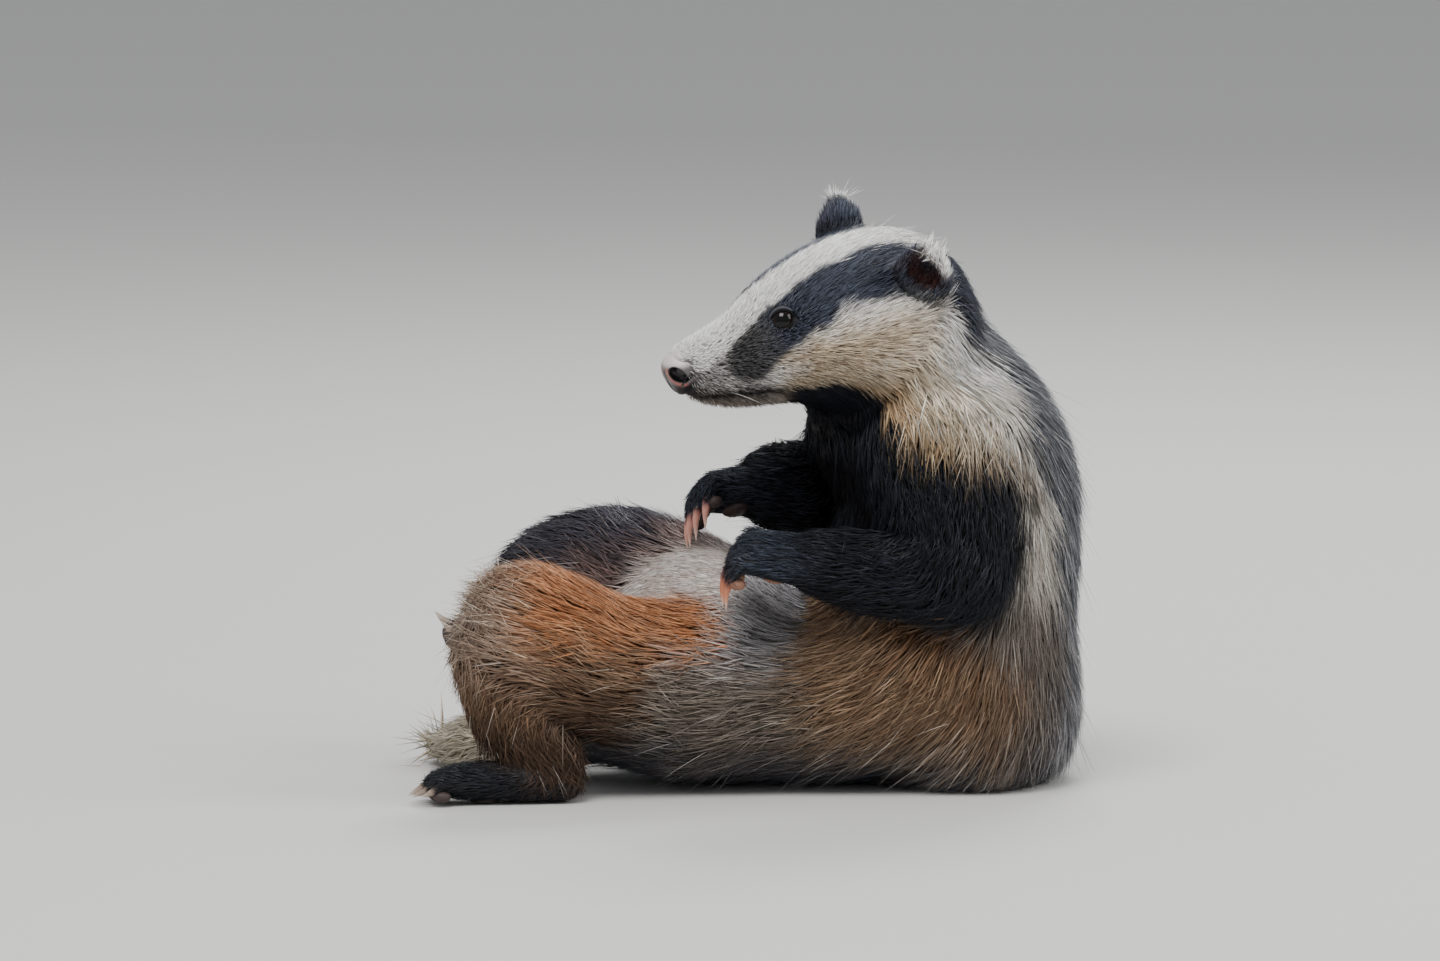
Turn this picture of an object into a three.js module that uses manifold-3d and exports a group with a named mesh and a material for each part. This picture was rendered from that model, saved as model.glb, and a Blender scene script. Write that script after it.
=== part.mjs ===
// A young European badger, life size, sitting back on its rump with its forepaws on its belly
// and its head turned over its left shoulder side. Millimetres, +Z up, the floor at z = 0.
// The head looks towards -X, the animal's left side faces -Y, and the origin is in the middle of
// the flat under the belly-side of the rump, where it rests on the floor.
import * as THREE from "three";
import { mergeVertices } from "three/addons/utils/BufferGeometryUtils.js";
import Module from "manifold-3d";

const wasm = await Module();
wasm.setup();

const at = (x, y, z) => new THREE.Vector3(x, y, z);
const mix = THREE.MathUtils.lerp;

// Driving sizes
const GAP = 0.3;
const COAT_DEPTH = 12;
const CORE_DEPTH = COAT_DEPTH / 2;
const LOCK = { length: 44, wide: 13, thick: 2.2, spacing: 25 };
const EYE_RADIUS = 5.6;

// The head's own frame: back from the nose tip, out to the animal's left, and up
const NOSE_TIP = at(-58, -47, 177);
const FORWARD = at(-0.869, -0.408, -0.278).normalize();
const LEFT = at(0.467, -0.865, -0.19);
LEFT.addScaledVector(FORWARD, -LEFT.dot(FORWARD)).normalize();
const UP = new THREE.Vector3().crossVectors(FORWARD, LEFT);
const inHead = (back, left, up) =>
  NOSE_TIP.clone().addScaledVector(FORWARD, -back).addScaledVector(LEFT, left).addScaledVector(UP, up);

// Which way the animal's left lies in the trunk, from the hips to the turned chest
const HIP_LEFT = at(0, -1, 0);
const CHEST_LEFT = at(0.26, -0.965, 0).normalize();

// Each station of a limb is its centre, its half width along the side direction, and its half depth
const TRUNK = [
  [at(-82, 4, 32), 34, 27],
  [at(-56, 3, 38), 56, 38],
  [at(-15, 5, 36), 66, 39],
  [at(28, 8, 42), 71, 46],
  [at(58, 10, 64), 72, 55],
  [at(65, 12, 96), 69, 54],
  [at(67, 12, 122), 63, 52],
  [at(64, 11, 142), 56, 47],
  [at(54, 7, 160), 50, 42],
  [at(41, 2, 177), 46, 40],
  [at(29, -4, 189), 43, 37],
];
const LOIN = [at(73, 9, 32), at(48, 66, 50)];
const PAUNCH = [at(-38, 2, 62), at(40, 42, 34)];
const BRISKET = [at(26, 14, 148), at(25, 34, 25)];

// The head's profile: back from the nose tip, top, bottom and half width
const HEAD_PROFILE = [
  [15, 10.6, -17, 12.6],
  [27, 12.6, -24, 16.4],
  [38, 14.8, -28, 19.6],
  [50, 18.5, -30.5, 24],
  [62, 23, -32.5, 30.5],
  [74, 26, -34, 37.5],
  [86, 27.5, -37, 42],
  [98, 27, -40, 44.5],
  [108, 25.5, -41, 44],
];
const NOSE_PROFILE = [
  [15, 7.4, -7.2, 8.2],
  [8.5, 8.8, -7.6, 9.2],
];
const MOUTH_CORNER = 42;

// Paw sizes: half width and depth of the palm, how much deeper its root is, and the toes'
const FORE_PAW = {
  wide: 16, deep: 10.5, root: 1.35, toe: 4.8, toeLength: 14, arch: 1, droop: 9, spread: 0.1, claw: 17,
};
const HIND_PAW = {
  wide: 13, deep: 10, root: 1.1, toe: 4.5, toeLength: 15, arch: 1, droop: 2.5, spread: 0.14, claw: 10,
};

const FORELEGS = {
  left: {
    upper: [
      [at(60, -27, 142), 33, 39],
      [at(64, -44, 117), 27, 32],
      [at(66, -57, 95), 21, 24],
    ],
    lower: [
      [at(66, -57, 95), 20, 22],
      [at(38, -60, 95), 18, 21],
      [at(10, -58, 99), 14, 16.5],
    ],
    knuckle: at(-16, -55, 103),
    thumbSide: at(-0.3, 0.85, 0.32),
    clawAim: at(-0.12, 0.05, -1),
  },
  right: {
    upper: [
      [at(58, 45, 142), 32, 38],
      [at(54, 58, 120), 26, 30],
      [at(47, 66, 102), 20, 23],
    ],
    lower: [
      [at(47, 66, 102), 20, 23],
      [at(16, 46, 114), 18, 26],
      [at(-12, 29, 121), 15, 20],
    ],
    knuckle: at(-34, 22, 119.5),
    thumbSide: at(0.5, -0.65, 0.4),
    clawAim: at(-0.05, -0.1, -1),
  },
};

const HINDLEGS = {
  left: {
    thigh: [
      [at(-46, -32, 44), 33, 39],
      [at(-80, -48, 54), 30, 33],
      [at(-104, -55, 66), 28, 32],
      [at(-116, -58, 72), 27, 31],
    ],
    shin: [
      [at(-118, -58, 60), 23, 29],
      [at(-116, -61, 38), 18, 24],
      [at(-104, -63, 18), 14, 16],
    ],
    heel: at(-100, -63, 10),
    knuckle: at(-142, -67, 9),
    thumbSide: at(0, 1, 0),
    clawAim: at(-0.85, 0, -0.4),
    sole: at(0, 0, -1),
  },
  right: {
    thigh: [
      [at(-44, 34, 60), 34, 40],
      [at(-72, 52, 75), 29, 37],
      [at(-96, 68, 80), 24, 27],
      [at(-109, 76, 78), 20, 20],
    ],
    shin: [
      [at(-110, 77, 72), 19, 20],
      [at(-117, 81, 46), 16, 18],
      [at(-120, 84, 20), 12, 13],
    ],
    heel: at(-119, 84, 10),
    knuckle: at(-140, 86, 44),
    thumbSide: at(0, -1, 0.05),
    clawAim: at(-0.7, 0, 0.6),
    sole: at(-0.85, 0, -0.5),
  },
};

const TAIL = [
  [at(-88, 4, 26), 20, 18],
  [at(-110, 8, 18), 20, 18],
  [at(-134, 22, 14), 17, 15],
  [at(-150, 42, 9), 9, 9.5],
];

// Fields: negative inside the flesh, and about the distance to its surface
const SIDE_STEPS = 3;

function limb(stations, side, lastSide = side) {
  const centres = new THREE.CatmullRomCurve3(stations.map((s) => s[0]), false, "catmullrom", 0.5);
  const sizes = new THREE.CatmullRomCurve3(stations.map((s) => at(s[1], s[2], 0)), false, "catmullrom", 0.5);
  const count = (stations.length - 1) * SIDE_STEPS;
  const links = [];
  for (let i = 0; i < count; i++) {
    const a = centres.getPoint(i / count);
    const along = centres.getPoint((i + 1) / count).sub(a);
    const length = along.length();
    along.divideScalar(length);
    const across = side.clone().lerp(lastSide, (i + 0.5) / count);
    across.addScaledVector(along, -across.dot(along)).normalize();
    const over = new THREE.Vector3().crossVectors(along, across);
    const first = sizes.getPoint(i / count);
    const last = sizes.getPoint((i + 1) / count);
    links.push({ a, along, length, across, over, first, last });
  }
  const d = at(0, 0, 0);
  return (p) => {
    let best = Infinity;
    for (const k of links) {
      d.subVectors(p, k.a);
      const t = Math.min(Math.max(d.dot(k.along) / k.length, 0), 1);
      d.addScaledVector(k.along, -t * k.length);
      const wide = mix(k.first.x, k.last.x, t);
      const deep = mix(k.first.y, k.last.y, t);
      const q = Math.hypot(d.dot(k.across) / wide, d.dot(k.over) / deep, d.dot(k.along) / Math.min(wide, deep));
      const far = d.length();
      best = Math.min(best, q > 1e-4 ? far - far / q : -Math.min(wide, deep));
    }
    return best;
  };
}

function ball([centre, radii]) {
  return (p) => {
    const q = Math.hypot((p.x - centre.x) / radii.x, (p.y - centre.y) / radii.y, (p.z - centre.z) / radii.z);
    const far = p.distanceTo(centre);
    return q > 1e-4 ? far - far / q : -Math.min(radii.x, radii.y, radii.z);
  };
}

function blend(a, b, reach) {
  const h = Math.max(reach - Math.abs(a - b), 0) / reach;
  return Math.min(a, b) - (h * h * reach) / 4;
}

const joined = (fields, reach) => (p) => fields.map((f) => f(p)).reduce((a, b) => blend(a, b, reach));

const headStations = HEAD_PROFILE.map(([back, top, bottom, half]) => [
  inHead(back, 0, (top + bottom) / 2), half, (top - bottom) / 2,
]);
const head = limb(headStations, LEFT);
const trunk = limb(TRUNK, HIP_LEFT, CHEST_LEFT);
const body = joined([trunk, ball(LOIN), ball(PAUNCH), ball(BRISKET), head], 14);
const tail = limb(TAIL, HIP_LEFT);

function slope(field, p) {
  const e = 0.5;
  const g = at(
    field(p.clone().setX(p.x + e)) - field(p.clone().setX(p.x - e)),
    field(p.clone().setY(p.y + e)) - field(p.clone().setY(p.y - e)),
    field(p.clone().setZ(p.z + e)) - field(p.clone().setZ(p.z - e)),
  );
  return g.normalize();
}

// The distance along a ray at which the field rises past a level
function reach(field, from, ray, level) {
  const step = 2;
  let far = 0;
  while (far < 160 && field(from.clone().addScaledVector(ray, far)) < level) far += step;
  if (far === 0) throw new Error("a spine runs outside its flesh at " + from.toArray().map(Math.round));
  let low = far - step;
  for (let i = 0; i < 12; i++) {
    const middle = (low + far) / 2;
    if (field(from.clone().addScaledVector(ray, middle)) < level) low = middle;
    else far = middle;
  }
  return from.clone().addScaledVector(ray, far);
}

// Solids
function closed(rings, first, last) {
  const points = [first, ...rings.flat(), last];
  const sides = rings[0].length;
  const faces = [];
  const ringAt = (r, s) => 1 + r * sides + (s % sides);
  for (let s = 0; s < sides; s++) {
    faces.push(0, ringAt(0, s + 1), ringAt(0, s));
    faces.push(points.length - 1, ringAt(rings.length - 1, s), ringAt(rings.length - 1, s + 1));
    for (let r = 0; r + 1 < rings.length; r++) {
      faces.push(ringAt(r, s), ringAt(r, s + 1), ringAt(r + 1, s));
      faces.push(ringAt(r, s + 1), ringAt(r + 1, s + 1), ringAt(r + 1, s));
    }
  }
  const solid = (list) =>
    new wasm.Manifold(
      new wasm.Mesh({
        numProp: 3,
        vertProperties: new Float32Array(points.flatMap((p) => p.toArray())),
        triVerts: new Uint32Array(list),
      }),
    );
  const made = solid(faces);
  return made.volume() > 0 ? made : solid(faces.reverse());
}

function axes(normal, side) {
  const across = side.clone().addScaledVector(normal, -side.dot(normal)).normalize();
  return [across, new THREE.Vector3().crossVectors(normal, across)];
}

// Skin cast on a field round a spine. Each spine point is [centre, normal of its ring].
// An end is flat, on its ring, or round, with cap rings that close on a pole. The level also
// pushes a flat end out.
function cast(field, spine, { rings, sides, side, level = 0, flatStart = false, flatEnd = false, caps = 2 }) {
  const normals = spine.map((s) => s[1].clone().normalize());
  const points = spine.map((s) => s[0].clone());
  if (flatStart) points[0].addScaledVector(normals[0], -level);
  if (flatEnd) points.at(-1).addScaledVector(normals.at(-1), level);
  const centres = new THREE.CatmullRomCurve3(points, false, "catmullrom", 0.5);
  const loops = [];
  const rayLoop = (centre, normal, lift) => {
    const [across, over] = axes(normal, side);
    return Array.from({ length: sides }, (_, i) => {
      const turn = (i / sides) * Math.PI * 2;
      const ray = across.clone().multiplyScalar(Math.cos(turn)).addScaledVector(over, Math.sin(turn));
      ray.multiplyScalar(Math.cos(lift)).addScaledVector(normal, Math.sin(lift));
      return reach(field, centre, ray, level);
    });
  };
  const normalAt = (u) => {
    const place = Math.min(u * (normals.length - 1), normals.length - 1 - 1e-6);
    const low = Math.floor(place);
    return normals[low].clone().lerp(normals[low + 1], place - low).normalize();
  };
  const quarter = Math.PI / 2;
  if (!flatStart)
    for (let c = caps; c >= 1; c--) loops.push(rayLoop(points[0], normals[0], (-quarter * c) / (caps + 1)));
  for (let r = 0; r <= rings; r++) loops.push(rayLoop(centres.getPoint(r / rings), normalAt(r / rings), 0));
  if (!flatEnd)
    for (let c = 1; c <= caps; c++) loops.push(rayLoop(points.at(-1), normals.at(-1), (quarter * c) / (caps + 1)));
  const first = flatStart ? points[0] : reach(field, points[0], normals[0].clone().negate(), level);
  const last = flatEnd ? points.at(-1) : reach(field, points.at(-1), normals.at(-1), level);
  return closed(loops, first, last);
}

// A tapered blade, toe or claw along a line of points, with half sizes at each: flat at its root
function taper(points, wide, thick, across, sides, flatEnd = false) {
  const line = new THREE.CatmullRomCurve3(points, false, "catmullrom", 0.5);
  const loops = wide.map((w, i) => {
    const u = i / (flatEnd ? wide.length - 1 : wide.length);
    const centre = line.getPoint(u);
    const [side, over] = axes(line.getTangent(u), across);
    return Array.from({ length: sides }, (_, s) => {
      const turn = (s / sides) * Math.PI * 2;
      return centre.clone()
        .addScaledVector(side, Math.cos(turn) * w)
        .addScaledVector(over, Math.sin(turn) * thick[i]);
    });
  });
  return closed(loops, points[0], points.at(-1));
}

function solidFrom(geometry, matrix) {
  const g = geometry.clone();
  g.deleteAttribute("normal");
  g.deleteAttribute("uv");
  g.applyMatrix4(matrix);
  const merged = mergeVertices(g, 1e-3);
  return new wasm.Manifold(
    new wasm.Mesh({
      numProp: 3,
      vertProperties: merged.attributes.position.array,
      triVerts: new Uint32Array(merged.index.array),
    }),
  );
}

// The parts of the face that the head carries
const eyeSpots = [1, -1].map((hand) => {
  const ray = FORWARD.clone().multiplyScalar(0.36).addScaledVector(LEFT, 0.82 * hand).addScaledVector(UP, 0.45);
  ray.normalize();
  const surface = reach(head, inHead(56, 6 * hand, 6), ray, 0);
  return { ray, surface, centre: surface.clone().addScaledVector(ray, -0.6 * EYE_RADIUS) };
});

function turned(centre, xAxis, zAxis, size) {
  const z = zAxis.clone().normalize();
  const x = xAxis.clone().addScaledVector(z, -xAxis.dot(z)).normalize();
  const y = new THREE.Vector3().crossVectors(z, x);
  return new THREE.Matrix4().makeBasis(x, y, z).setPosition(centre).scale(size);
}

const orb = (segments) => new THREE.SphereGeometry(1, segments, Math.round(segments * 0.7));

const eyeball = (spot, extra) =>
  solidFrom(orb(11), turned(spot.centre, FORWARD, spot.ray, at(1, 1, 1).multiplyScalar(EYE_RADIUS + extra)));

function lids(spot) {
  const ring = new THREE.TorusGeometry(EYE_RADIUS, 2.2, 5, 12);
  const seat = spot.surface.clone().addScaledVector(spot.ray, -1.6);
  return solidFrom(ring, turned(seat, FORWARD, spot.ray, at(1.12, 0.84, 1)));
}

// The mouth line runs back from under the nose to each corner
function mouthLine() {
  const line = [];
  for (const hand of [1, -1]) {
    const half = [];
    for (let turn = 0; turn < 2; turn++) {
      const angle = (turn / 2) * (Math.PI / 2) + 0.02;
      const ray = FORWARD.clone().multiplyScalar(Math.cos(angle)).addScaledVector(LEFT, hand * Math.sin(angle));
      half.push(reach(head, inHead(15, 0, -12.5), ray, 0));
    }
    for (let back = 15; back <= MOUTH_CORNER; back += 9) {
      const drop = -12.5 - 4.5 * ((back - 15) / (MOUTH_CORNER - 15));
      half.push(reach(head, inHead(back, 0, drop), LEFT.clone().multiplyScalar(hand), 0));
    }
    line.push(hand > 0 ? half.reverse() : half.slice(1));
  }
  return line.flat();
}

function alongMouth(tall, proud) {
  const line = mouthLine();
  const scale = line.map((_, i) => [0.3, 0.75][Math.min(i, line.length - 1 - i)] ?? 1);
  return taper(line, scale.map((k) => k * tall), scale.map((k) => k * proud), UP, 6, true);
}

function nostril(hand) {
  const hole = solidFrom(orb(8), turned(inHead(1.2, 3.9 * hand, -0.6), FORWARD, UP, at(4.5, 2.1, 2.5)));
  const slit = solidFrom(orb(8), turned(inHead(5.5, 8.4 * hand, -2.4), FORWARD, UP, at(4.2, 1.8, 1.1)));
  return hole.add(slit);
}

const noseField = limb(NOSE_PROFILE.map(([back, top, bottom, half]) => [
  inHead(back, 0, (top + bottom) / 2), half, (top - bottom) / 2,
]), LEFT);

function noseSolid(level) {
  const spine = NOSE_PROFILE.map(([back]) => [inHead(back, 0, 0.8), FORWARD]);
  return cast(noseField, spine, { rings: 2, sides: 14, side: LEFT, level, flatStart: true, caps: 3 });
}

function earSolid(hand) {
  const tall = UP.clone().multiplyScalar(0.85).addScaledVector(LEFT, 0.4 * hand).addScaledVector(FORWARD, -0.3);
  const open = FORWARD.clone().multiplyScalar(0.65).addScaledVector(LEFT, 0.76 * hand);
  tall.normalize();
  open.addScaledVector(tall, -open.dot(tall)).normalize();
  const base = inHead(107, 34.5 * hand, 14);
  const shell = turned(base.clone().addScaledVector(tall, 1), open, tall, at(11.5, 14, 16.5));
  const cup = turned(base.clone().addScaledVector(tall, 8).addScaledVector(open, 7.5), open, tall, at(8.5, 10, 8.8));
  return solidFrom(orb(13), shell).subtract(solidFrom(orb(11), cup));
}

// Seams of the trunk: a centre, and the normal that points on towards the head
const HIP_SEAM = [at(2, 6, 40), at(0.999, 0, 0.03).normalize()];
const WAIST_SEAM = [at(66, 11, 76), at(0.508, 0, 0.861).normalize()];
const SHOULDER_SEAM = [at(65, 11, 140), at(-0.25, -0.05, 0.97).normalize()];
const NAPE_SEAM = [at(28, -5, 196), at(-0.705, -0.493, 0.512).normalize()];
const before = ([centre, normal]) => [centre.clone().addScaledVector(normal, -GAP / 2), normal];
const beyond = ([centre, normal]) => [centre.clone().addScaledVector(normal, GAP / 2), normal];
const tilted = (degrees) => {
  const angle = THREE.MathUtils.degToRad(degrees);
  return FORWARD.clone().multiplyScalar(Math.cos(angle)).addScaledVector(UP, Math.sin(angle));
};

const TO_HEAD_END = at(1, 0, 0);
const abdomenSpine = [
  [at(-82, 4, 34), TO_HEAD_END],
  [at(-50, 3, 44), TO_HEAD_END],
  [at(-22, 5, 41), TO_HEAD_END],
  before(HIP_SEAM),
];
const loinSpine = [
  beyond(HIP_SEAM),
  [at(24, 8, 42), at(0.965, 0, 0.26)],
  [at(46, 9, 46), at(0.849, 0, 0.528)],
  [at(60, 10, 58), at(0.7, 0, 0.714)],
  before(WAIST_SEAM),
];
const chestSpine = [
  beyond(WAIST_SEAM),
  [at(66, 11, 98), at(0.224, 0, 0.975)],
  [at(66, 12, 118), at(0, 0, 1)],
  before(SHOULDER_SEAM),
];
const neckSpine = [beyond(SHOULDER_SEAM), [at(54, 6, 160), at(-0.55, -0.25, 0.8)], before(NAPE_SEAM)];
const headSpine = [
  beyond(NAPE_SEAM),
  [inHead(84, 0, -4), tilted(38)],
  [inHead(70, 0, -4), tilted(24)],
  [inHead(54, 0, -4), tilted(8)],
  [inHead(38, 0, -5), FORWARD],
  [inHead(26, 0, -5), FORWARD],
  [inHead(18, 0, -4), FORWARD],
];

// Skin along a limb's own field, flat where it starts or ends on a seam, and at a first
// station hidden in what carries it
function limbSkin(field, stations, side, { rings, sides, from, seam, roundStart = false }) {
  const centres = stations.map((s) => s[0]);
  const spine = centres.map((c, i) => [c, (centres[i + 1] ?? c).clone().sub(centres[i - 1] ?? c)]);
  if (from) spine[0] = beyond(from);
  if (seam) spine[spine.length - 1] = before(seam);
  const ends = { flatStart: !roundStart, flatEnd: Boolean(seam) };
  return (level) => cast(field, spine, { rings, sides, side, level, ...ends });
}

// A paw: a flat palm from wrist or heel to knuckles, five toes, and a claw on each
function pawOf({ from, knuckle, thumbSide, clawAim, sole = clawAim, seam }, size) {
  const forward = knuckle.clone().sub(from).normalize();
  const [across] = axes(forward, thumbSide);
  const down = sole.clone().addScaledVector(forward, -sole.dot(forward));
  down.addScaledVector(across, -down.dot(across)).normalize();
  const stations = [
    [from, size.wide * 0.87, size.deep * size.root],
    [from.clone().lerp(knuckle, 0.5), size.wide, size.deep],
    [knuckle, size.wide, size.deep * 0.85],
  ];
  const field = limb(stations, across);
  const palm = limbSkin(field, stations, across, { rings: 3, sides: 12, from: seam, roundStart: !seam });
  const toes = [-2, -1, 0, 1, 2].map((i) => {
    const place = i / 2;
    const heading = forward.clone().addScaledVector(across, place * size.spread);
    const length = size.toeLength * (1 - 0.2 * place * place);
    const root = knuckle.clone().addScaledVector(across, place * size.wide * 0.84);
    const middle = root.clone().addScaledVector(heading, length * 0.55).addScaledVector(down, -size.arch);
    const tip = root.clone().addScaledVector(heading, length).addScaledVector(down, size.droop);
    return { place, root, middle, tip };
  });
  const toe = (t, extra) => {
    const sizes = [0.92, 1.08, 0.86].map((k) => k * size.toe + extra);
    return taper([t.root, t.middle, t.tip], sizes, sizes, across, 7);
  };
  const solid = (level) => toes.reduce((sum, t) => sum.add(toe(t, level)), palm(level));
  const claw = (t) => (level) => {
    const out = t.tip.clone().sub(t.middle).normalize();
    const aim = clawAim.clone().normalize();
    const long = size.claw * (1 - 0.15 * t.place * t.place);
    const root = t.tip.clone().addScaledVector(out, -0.6 * size.toe);
    const bend = root.clone().addScaledVector(out, long * 0.3).addScaledVector(aim, long * 0.2);
    const end = root.clone().addScaledVector(out, long * 0.25).addScaledVector(aim, long * 0.85);
    const wide = [1, 0.9, 0.6].map((k) => k * size.toe * 0.36 + level);
    const thick = [1, 0.92, 0.6].map((k) => k * size.toe * 0.48 + level);
    return taper([root, bend, end], wide, thick, across, 5);
  };
  return { solid, claws: toes.map(claw) };
}

// Coat. Hair lies from head to tail: down the neck and chest, and round the waist to the rump.
const WAIST_TURN = at(5, 0, 112);
const NECK_LIE = at(0.6, 0.1, -0.8);
const DOWN = at(0, 0, -1);

function trunkLie(p) {
  if (p.z > WAIST_TURN.z) return DOWN.clone().lerp(NECK_LIE, Math.min((p.z - WAIST_TURN.z) / 50, 1));
  if (p.x < WAIST_TURN.x) return at(-1, 0, -0.05);
  return at(p.z - WAIST_TURN.z, 0, WAIST_TURN.x - p.x);
}

// The share of the full coat that grows at a point: none on the face, the lap, the front of the
// rump, the fold of the belly and the hair pressed flat under the body
const ramp = (value, over) => THREE.MathUtils.smoothstep(value, 0, over);

function trunkShare(p) {
  const pastNape = NAPE_SEAM[0].clone().sub(p).dot(NAPE_SEAM[1]);
  const neck = ramp(Math.max(pastNape, 160 - p.z), 35);
  const cheek = ramp(pastNape + 28, 35) * ramp(8 - p.clone().sub(NOSE_TIP).dot(UP), 15);
  const lap = 1 - ramp(p.z - 50, 25) * ramp(20 - p.x, 25);
  const rump = ramp(p.x + 95, 25);
  const fold = ramp(Math.hypot(p.x - WAIST_TURN.x, p.z - WAIST_TURN.z) - 30, 25);
  const loose = ramp(p.z - 2, 16);
  return Math.max(neck, cheek) * lap * rump * fold * loose;
}

// Where less than this share of the coat grows there are no locks
const LEAST_SHARE = 0.6;

let seed = 11;
function random() {
  seed = (seed * 16807) % 2147483647;
  return seed / 2147483647;
}

// A flat lock's path on the flesh: its root sunk in the core, then rising to the tips of the coat
function lockPath({ field, lie, share }, root, length) {
  const p = root.clone();
  const core = -CORE_DEPTH * share(root);
  return [core - 2.5, core * 0.5, core * 0.2, 0.5].map((level) => {
    for (let i = 0; i < 3; i++) p.addScaledVector(slope(field, p), level - field(p));
    const normal = slope(field, p);
    const along = lie(p);
    along.addScaledVector(normal, -along.dot(normal)).normalize();
    const stop = { centre: p.clone(), normal, across: new THREE.Vector3().crossVectors(normal, along) };
    p.addScaledVector(along, length / 3);
    return stop;
  });
}

function lockSolid({ path, wide, thick }, extra) {
  const rings = [[0.85, 1], [1, 0.95], [0.82, 0.7]].map(([w, t], i) => {
    const { centre, normal, across } = path[i];
    return [[1, 0], [0, 1], [-1, 0], [0, -1]].map(([x, y]) =>
      centre.clone()
        .addScaledVector(across, x * (w * wide + extra))
        .addScaledVector(normal, y * (t * thick + extra)),
    );
  });
  const onward = path[3].centre.clone().sub(path[2].centre).normalize();
  return closed(rings, path[0].centre, path[3].centre.clone().addScaledVector(onward, extra * 5));
}

const SIDEWAYS = [-1, -0.5, 0, 0.5, 1];
const isClear = (path, wide, others) => path.every(({ centre, across }, i) => SIDEWAYS.every((side) => {
  const p = centre.clone().addScaledVector(across, side * wide);
  const q = p.clone().lerp(path[Math.max(i - 1, 0)].centre, 0.4);
  return others.every((other) => Math.min(other(p), other(q)) > LOCK.thick + GAP);
}));

// Locks in staggered rows round a spine. Where another node is near they are shorter, or left out.
function locksOn(spine, side, coat) {
  const length = spine.slice(1).reduce((sum, s, i) => sum + s[0].distanceTo(spine[i][0]), 0);
  const centres = new THREE.CatmullRomCurve3(spine.map((s) => s[0]), false, "catmullrom", 0.5);
  const rows = Math.max(Math.round(length / LOCK.spacing), 1);
  const locks = [];
  for (let row = 0; row < rows; row++) {
    const u = (row + 0.5) / rows;
    const low = Math.floor(u * (spine.length - 1));
    const [first, second] = [low, low + 1].map((k) => spine[k][1].clone().normalize());
    const [across, over] = axes(first.lerp(second, u * (spine.length - 1) - low).normalize(), side);
    const around = (turn) => {
      const ray = across.clone().multiplyScalar(Math.cos(turn)).addScaledVector(over, Math.sin(turn));
      return reach(coat.field, centres.getPoint(u), ray, -CORE_DEPTH);
    };
    const girth = [0, 1, 2, 3, 4, 5, 6, 7].reduce((sum, i) =>
      sum + around((i * Math.PI) / 4).distanceTo(around(((i + 1) * Math.PI) / 4)), 0);
    const count = Math.round(girth / (LOCK.wide * 1.9));
    for (let i = 0; i < count; i++) {
      const turn = ((i + (row % 2) / 2 + 0.3 * (random() - 0.5)) / count) * Math.PI * 2;
      const root = around(turn);
      const size = 0.88 + 0.24 * random();
      if (coat.share(root) < LEAST_SHARE || root.z < CORE_DEPTH) continue;
      for (const shorter of [1, 0.7, 0.45]) {
        const path = lockPath(coat, root, LOCK.length * size * shorter);
        const wide = LOCK.wide * size * Math.sqrt(shorter);
        if (!isClear(path, wide, coat.others)) continue;
        locks.push({ path, wide, thick: LOCK.thick * size });
        break;
      }
    }
  }
  return locks;
}

// A node with a long coat: its core, with locks fused to it
function coated(spine, settings, coat) {
  const locks = locksOn(spine, settings.side, coat);
  const core = (p) => coat.field(p) + CORE_DEPTH * coat.share(p);
  return (level) =>
    locks.reduce((sum, lock) => sum.add(lockSolid(lock, level)), cast(core, spine, { ...settings, level }));
}

// Nodes. Each is cut back from those placed before it, grown by the gap, and by the floor.
const badger = new THREE.Group();
const placed = [];
const floor = solidFrom(new THREE.BoxGeometry(900, 900, 100), new THREE.Matrix4().makeTranslation(0, 0, -50));

const largest = (solid) => solid.decompose().reduce((a, b) => (a.volume() > b.volume() ? a : b));

function geometryOf(solid) {
  const mesh = solid.getMesh();
  const geometry = new THREE.BufferGeometry();
  geometry.setAttribute("position", new THREE.BufferAttribute(mesh.vertProperties, 3));
  geometry.setIndex(new THREE.BufferAttribute(mesh.triVerts, 1));
  return geometry;
}

function touches(a, b) {
  const [p, q] = [a.boundingBox(), b.boundingBox()];
  return [0, 1, 2].every((i) => p.min[i] < q.max[i] && q.min[i] < p.max[i]);
}

function place(name, make, { color, roughness }) {
  let solid = make(0).subtract(floor);
  for (const other of placed) if (touches(solid, other)) solid = solid.subtract(other);
  const whole = solidFrom(geometryOf(largest(solid)), new THREE.Matrix4());
  const geometry = geometryOf(largest(whole));
  geometry.computeVertexNormals();
  const node = new THREE.Mesh(geometry, new THREE.MeshStandardMaterial({ color, roughness, metalness: 0 }));
  node.name = name;
  badger.add(node);
  placed.push(make(GAP * 1.15));
}

const FACE = { color: 0xe9e2d4, roughness: 0.85 };
const GRIZZLE = { color: 0x8d8478, roughness: 0.9 };
const FLANK = { color: 0x9a8164, roughness: 0.9 };
const BLACK_FUR = { color: 0x17161a, roughness: 0.8 };
const BLACK_SKIN = { color: 0x2a2526, roughness: 0.55 };
const HORN = { color: 0xb98a72, roughness: 0.4 };
const EYE = { color: 0x120c0a, roughness: 0.05 };
const PALE_TAIL = { color: 0xb5a68d, roughness: 0.9 };

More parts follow.
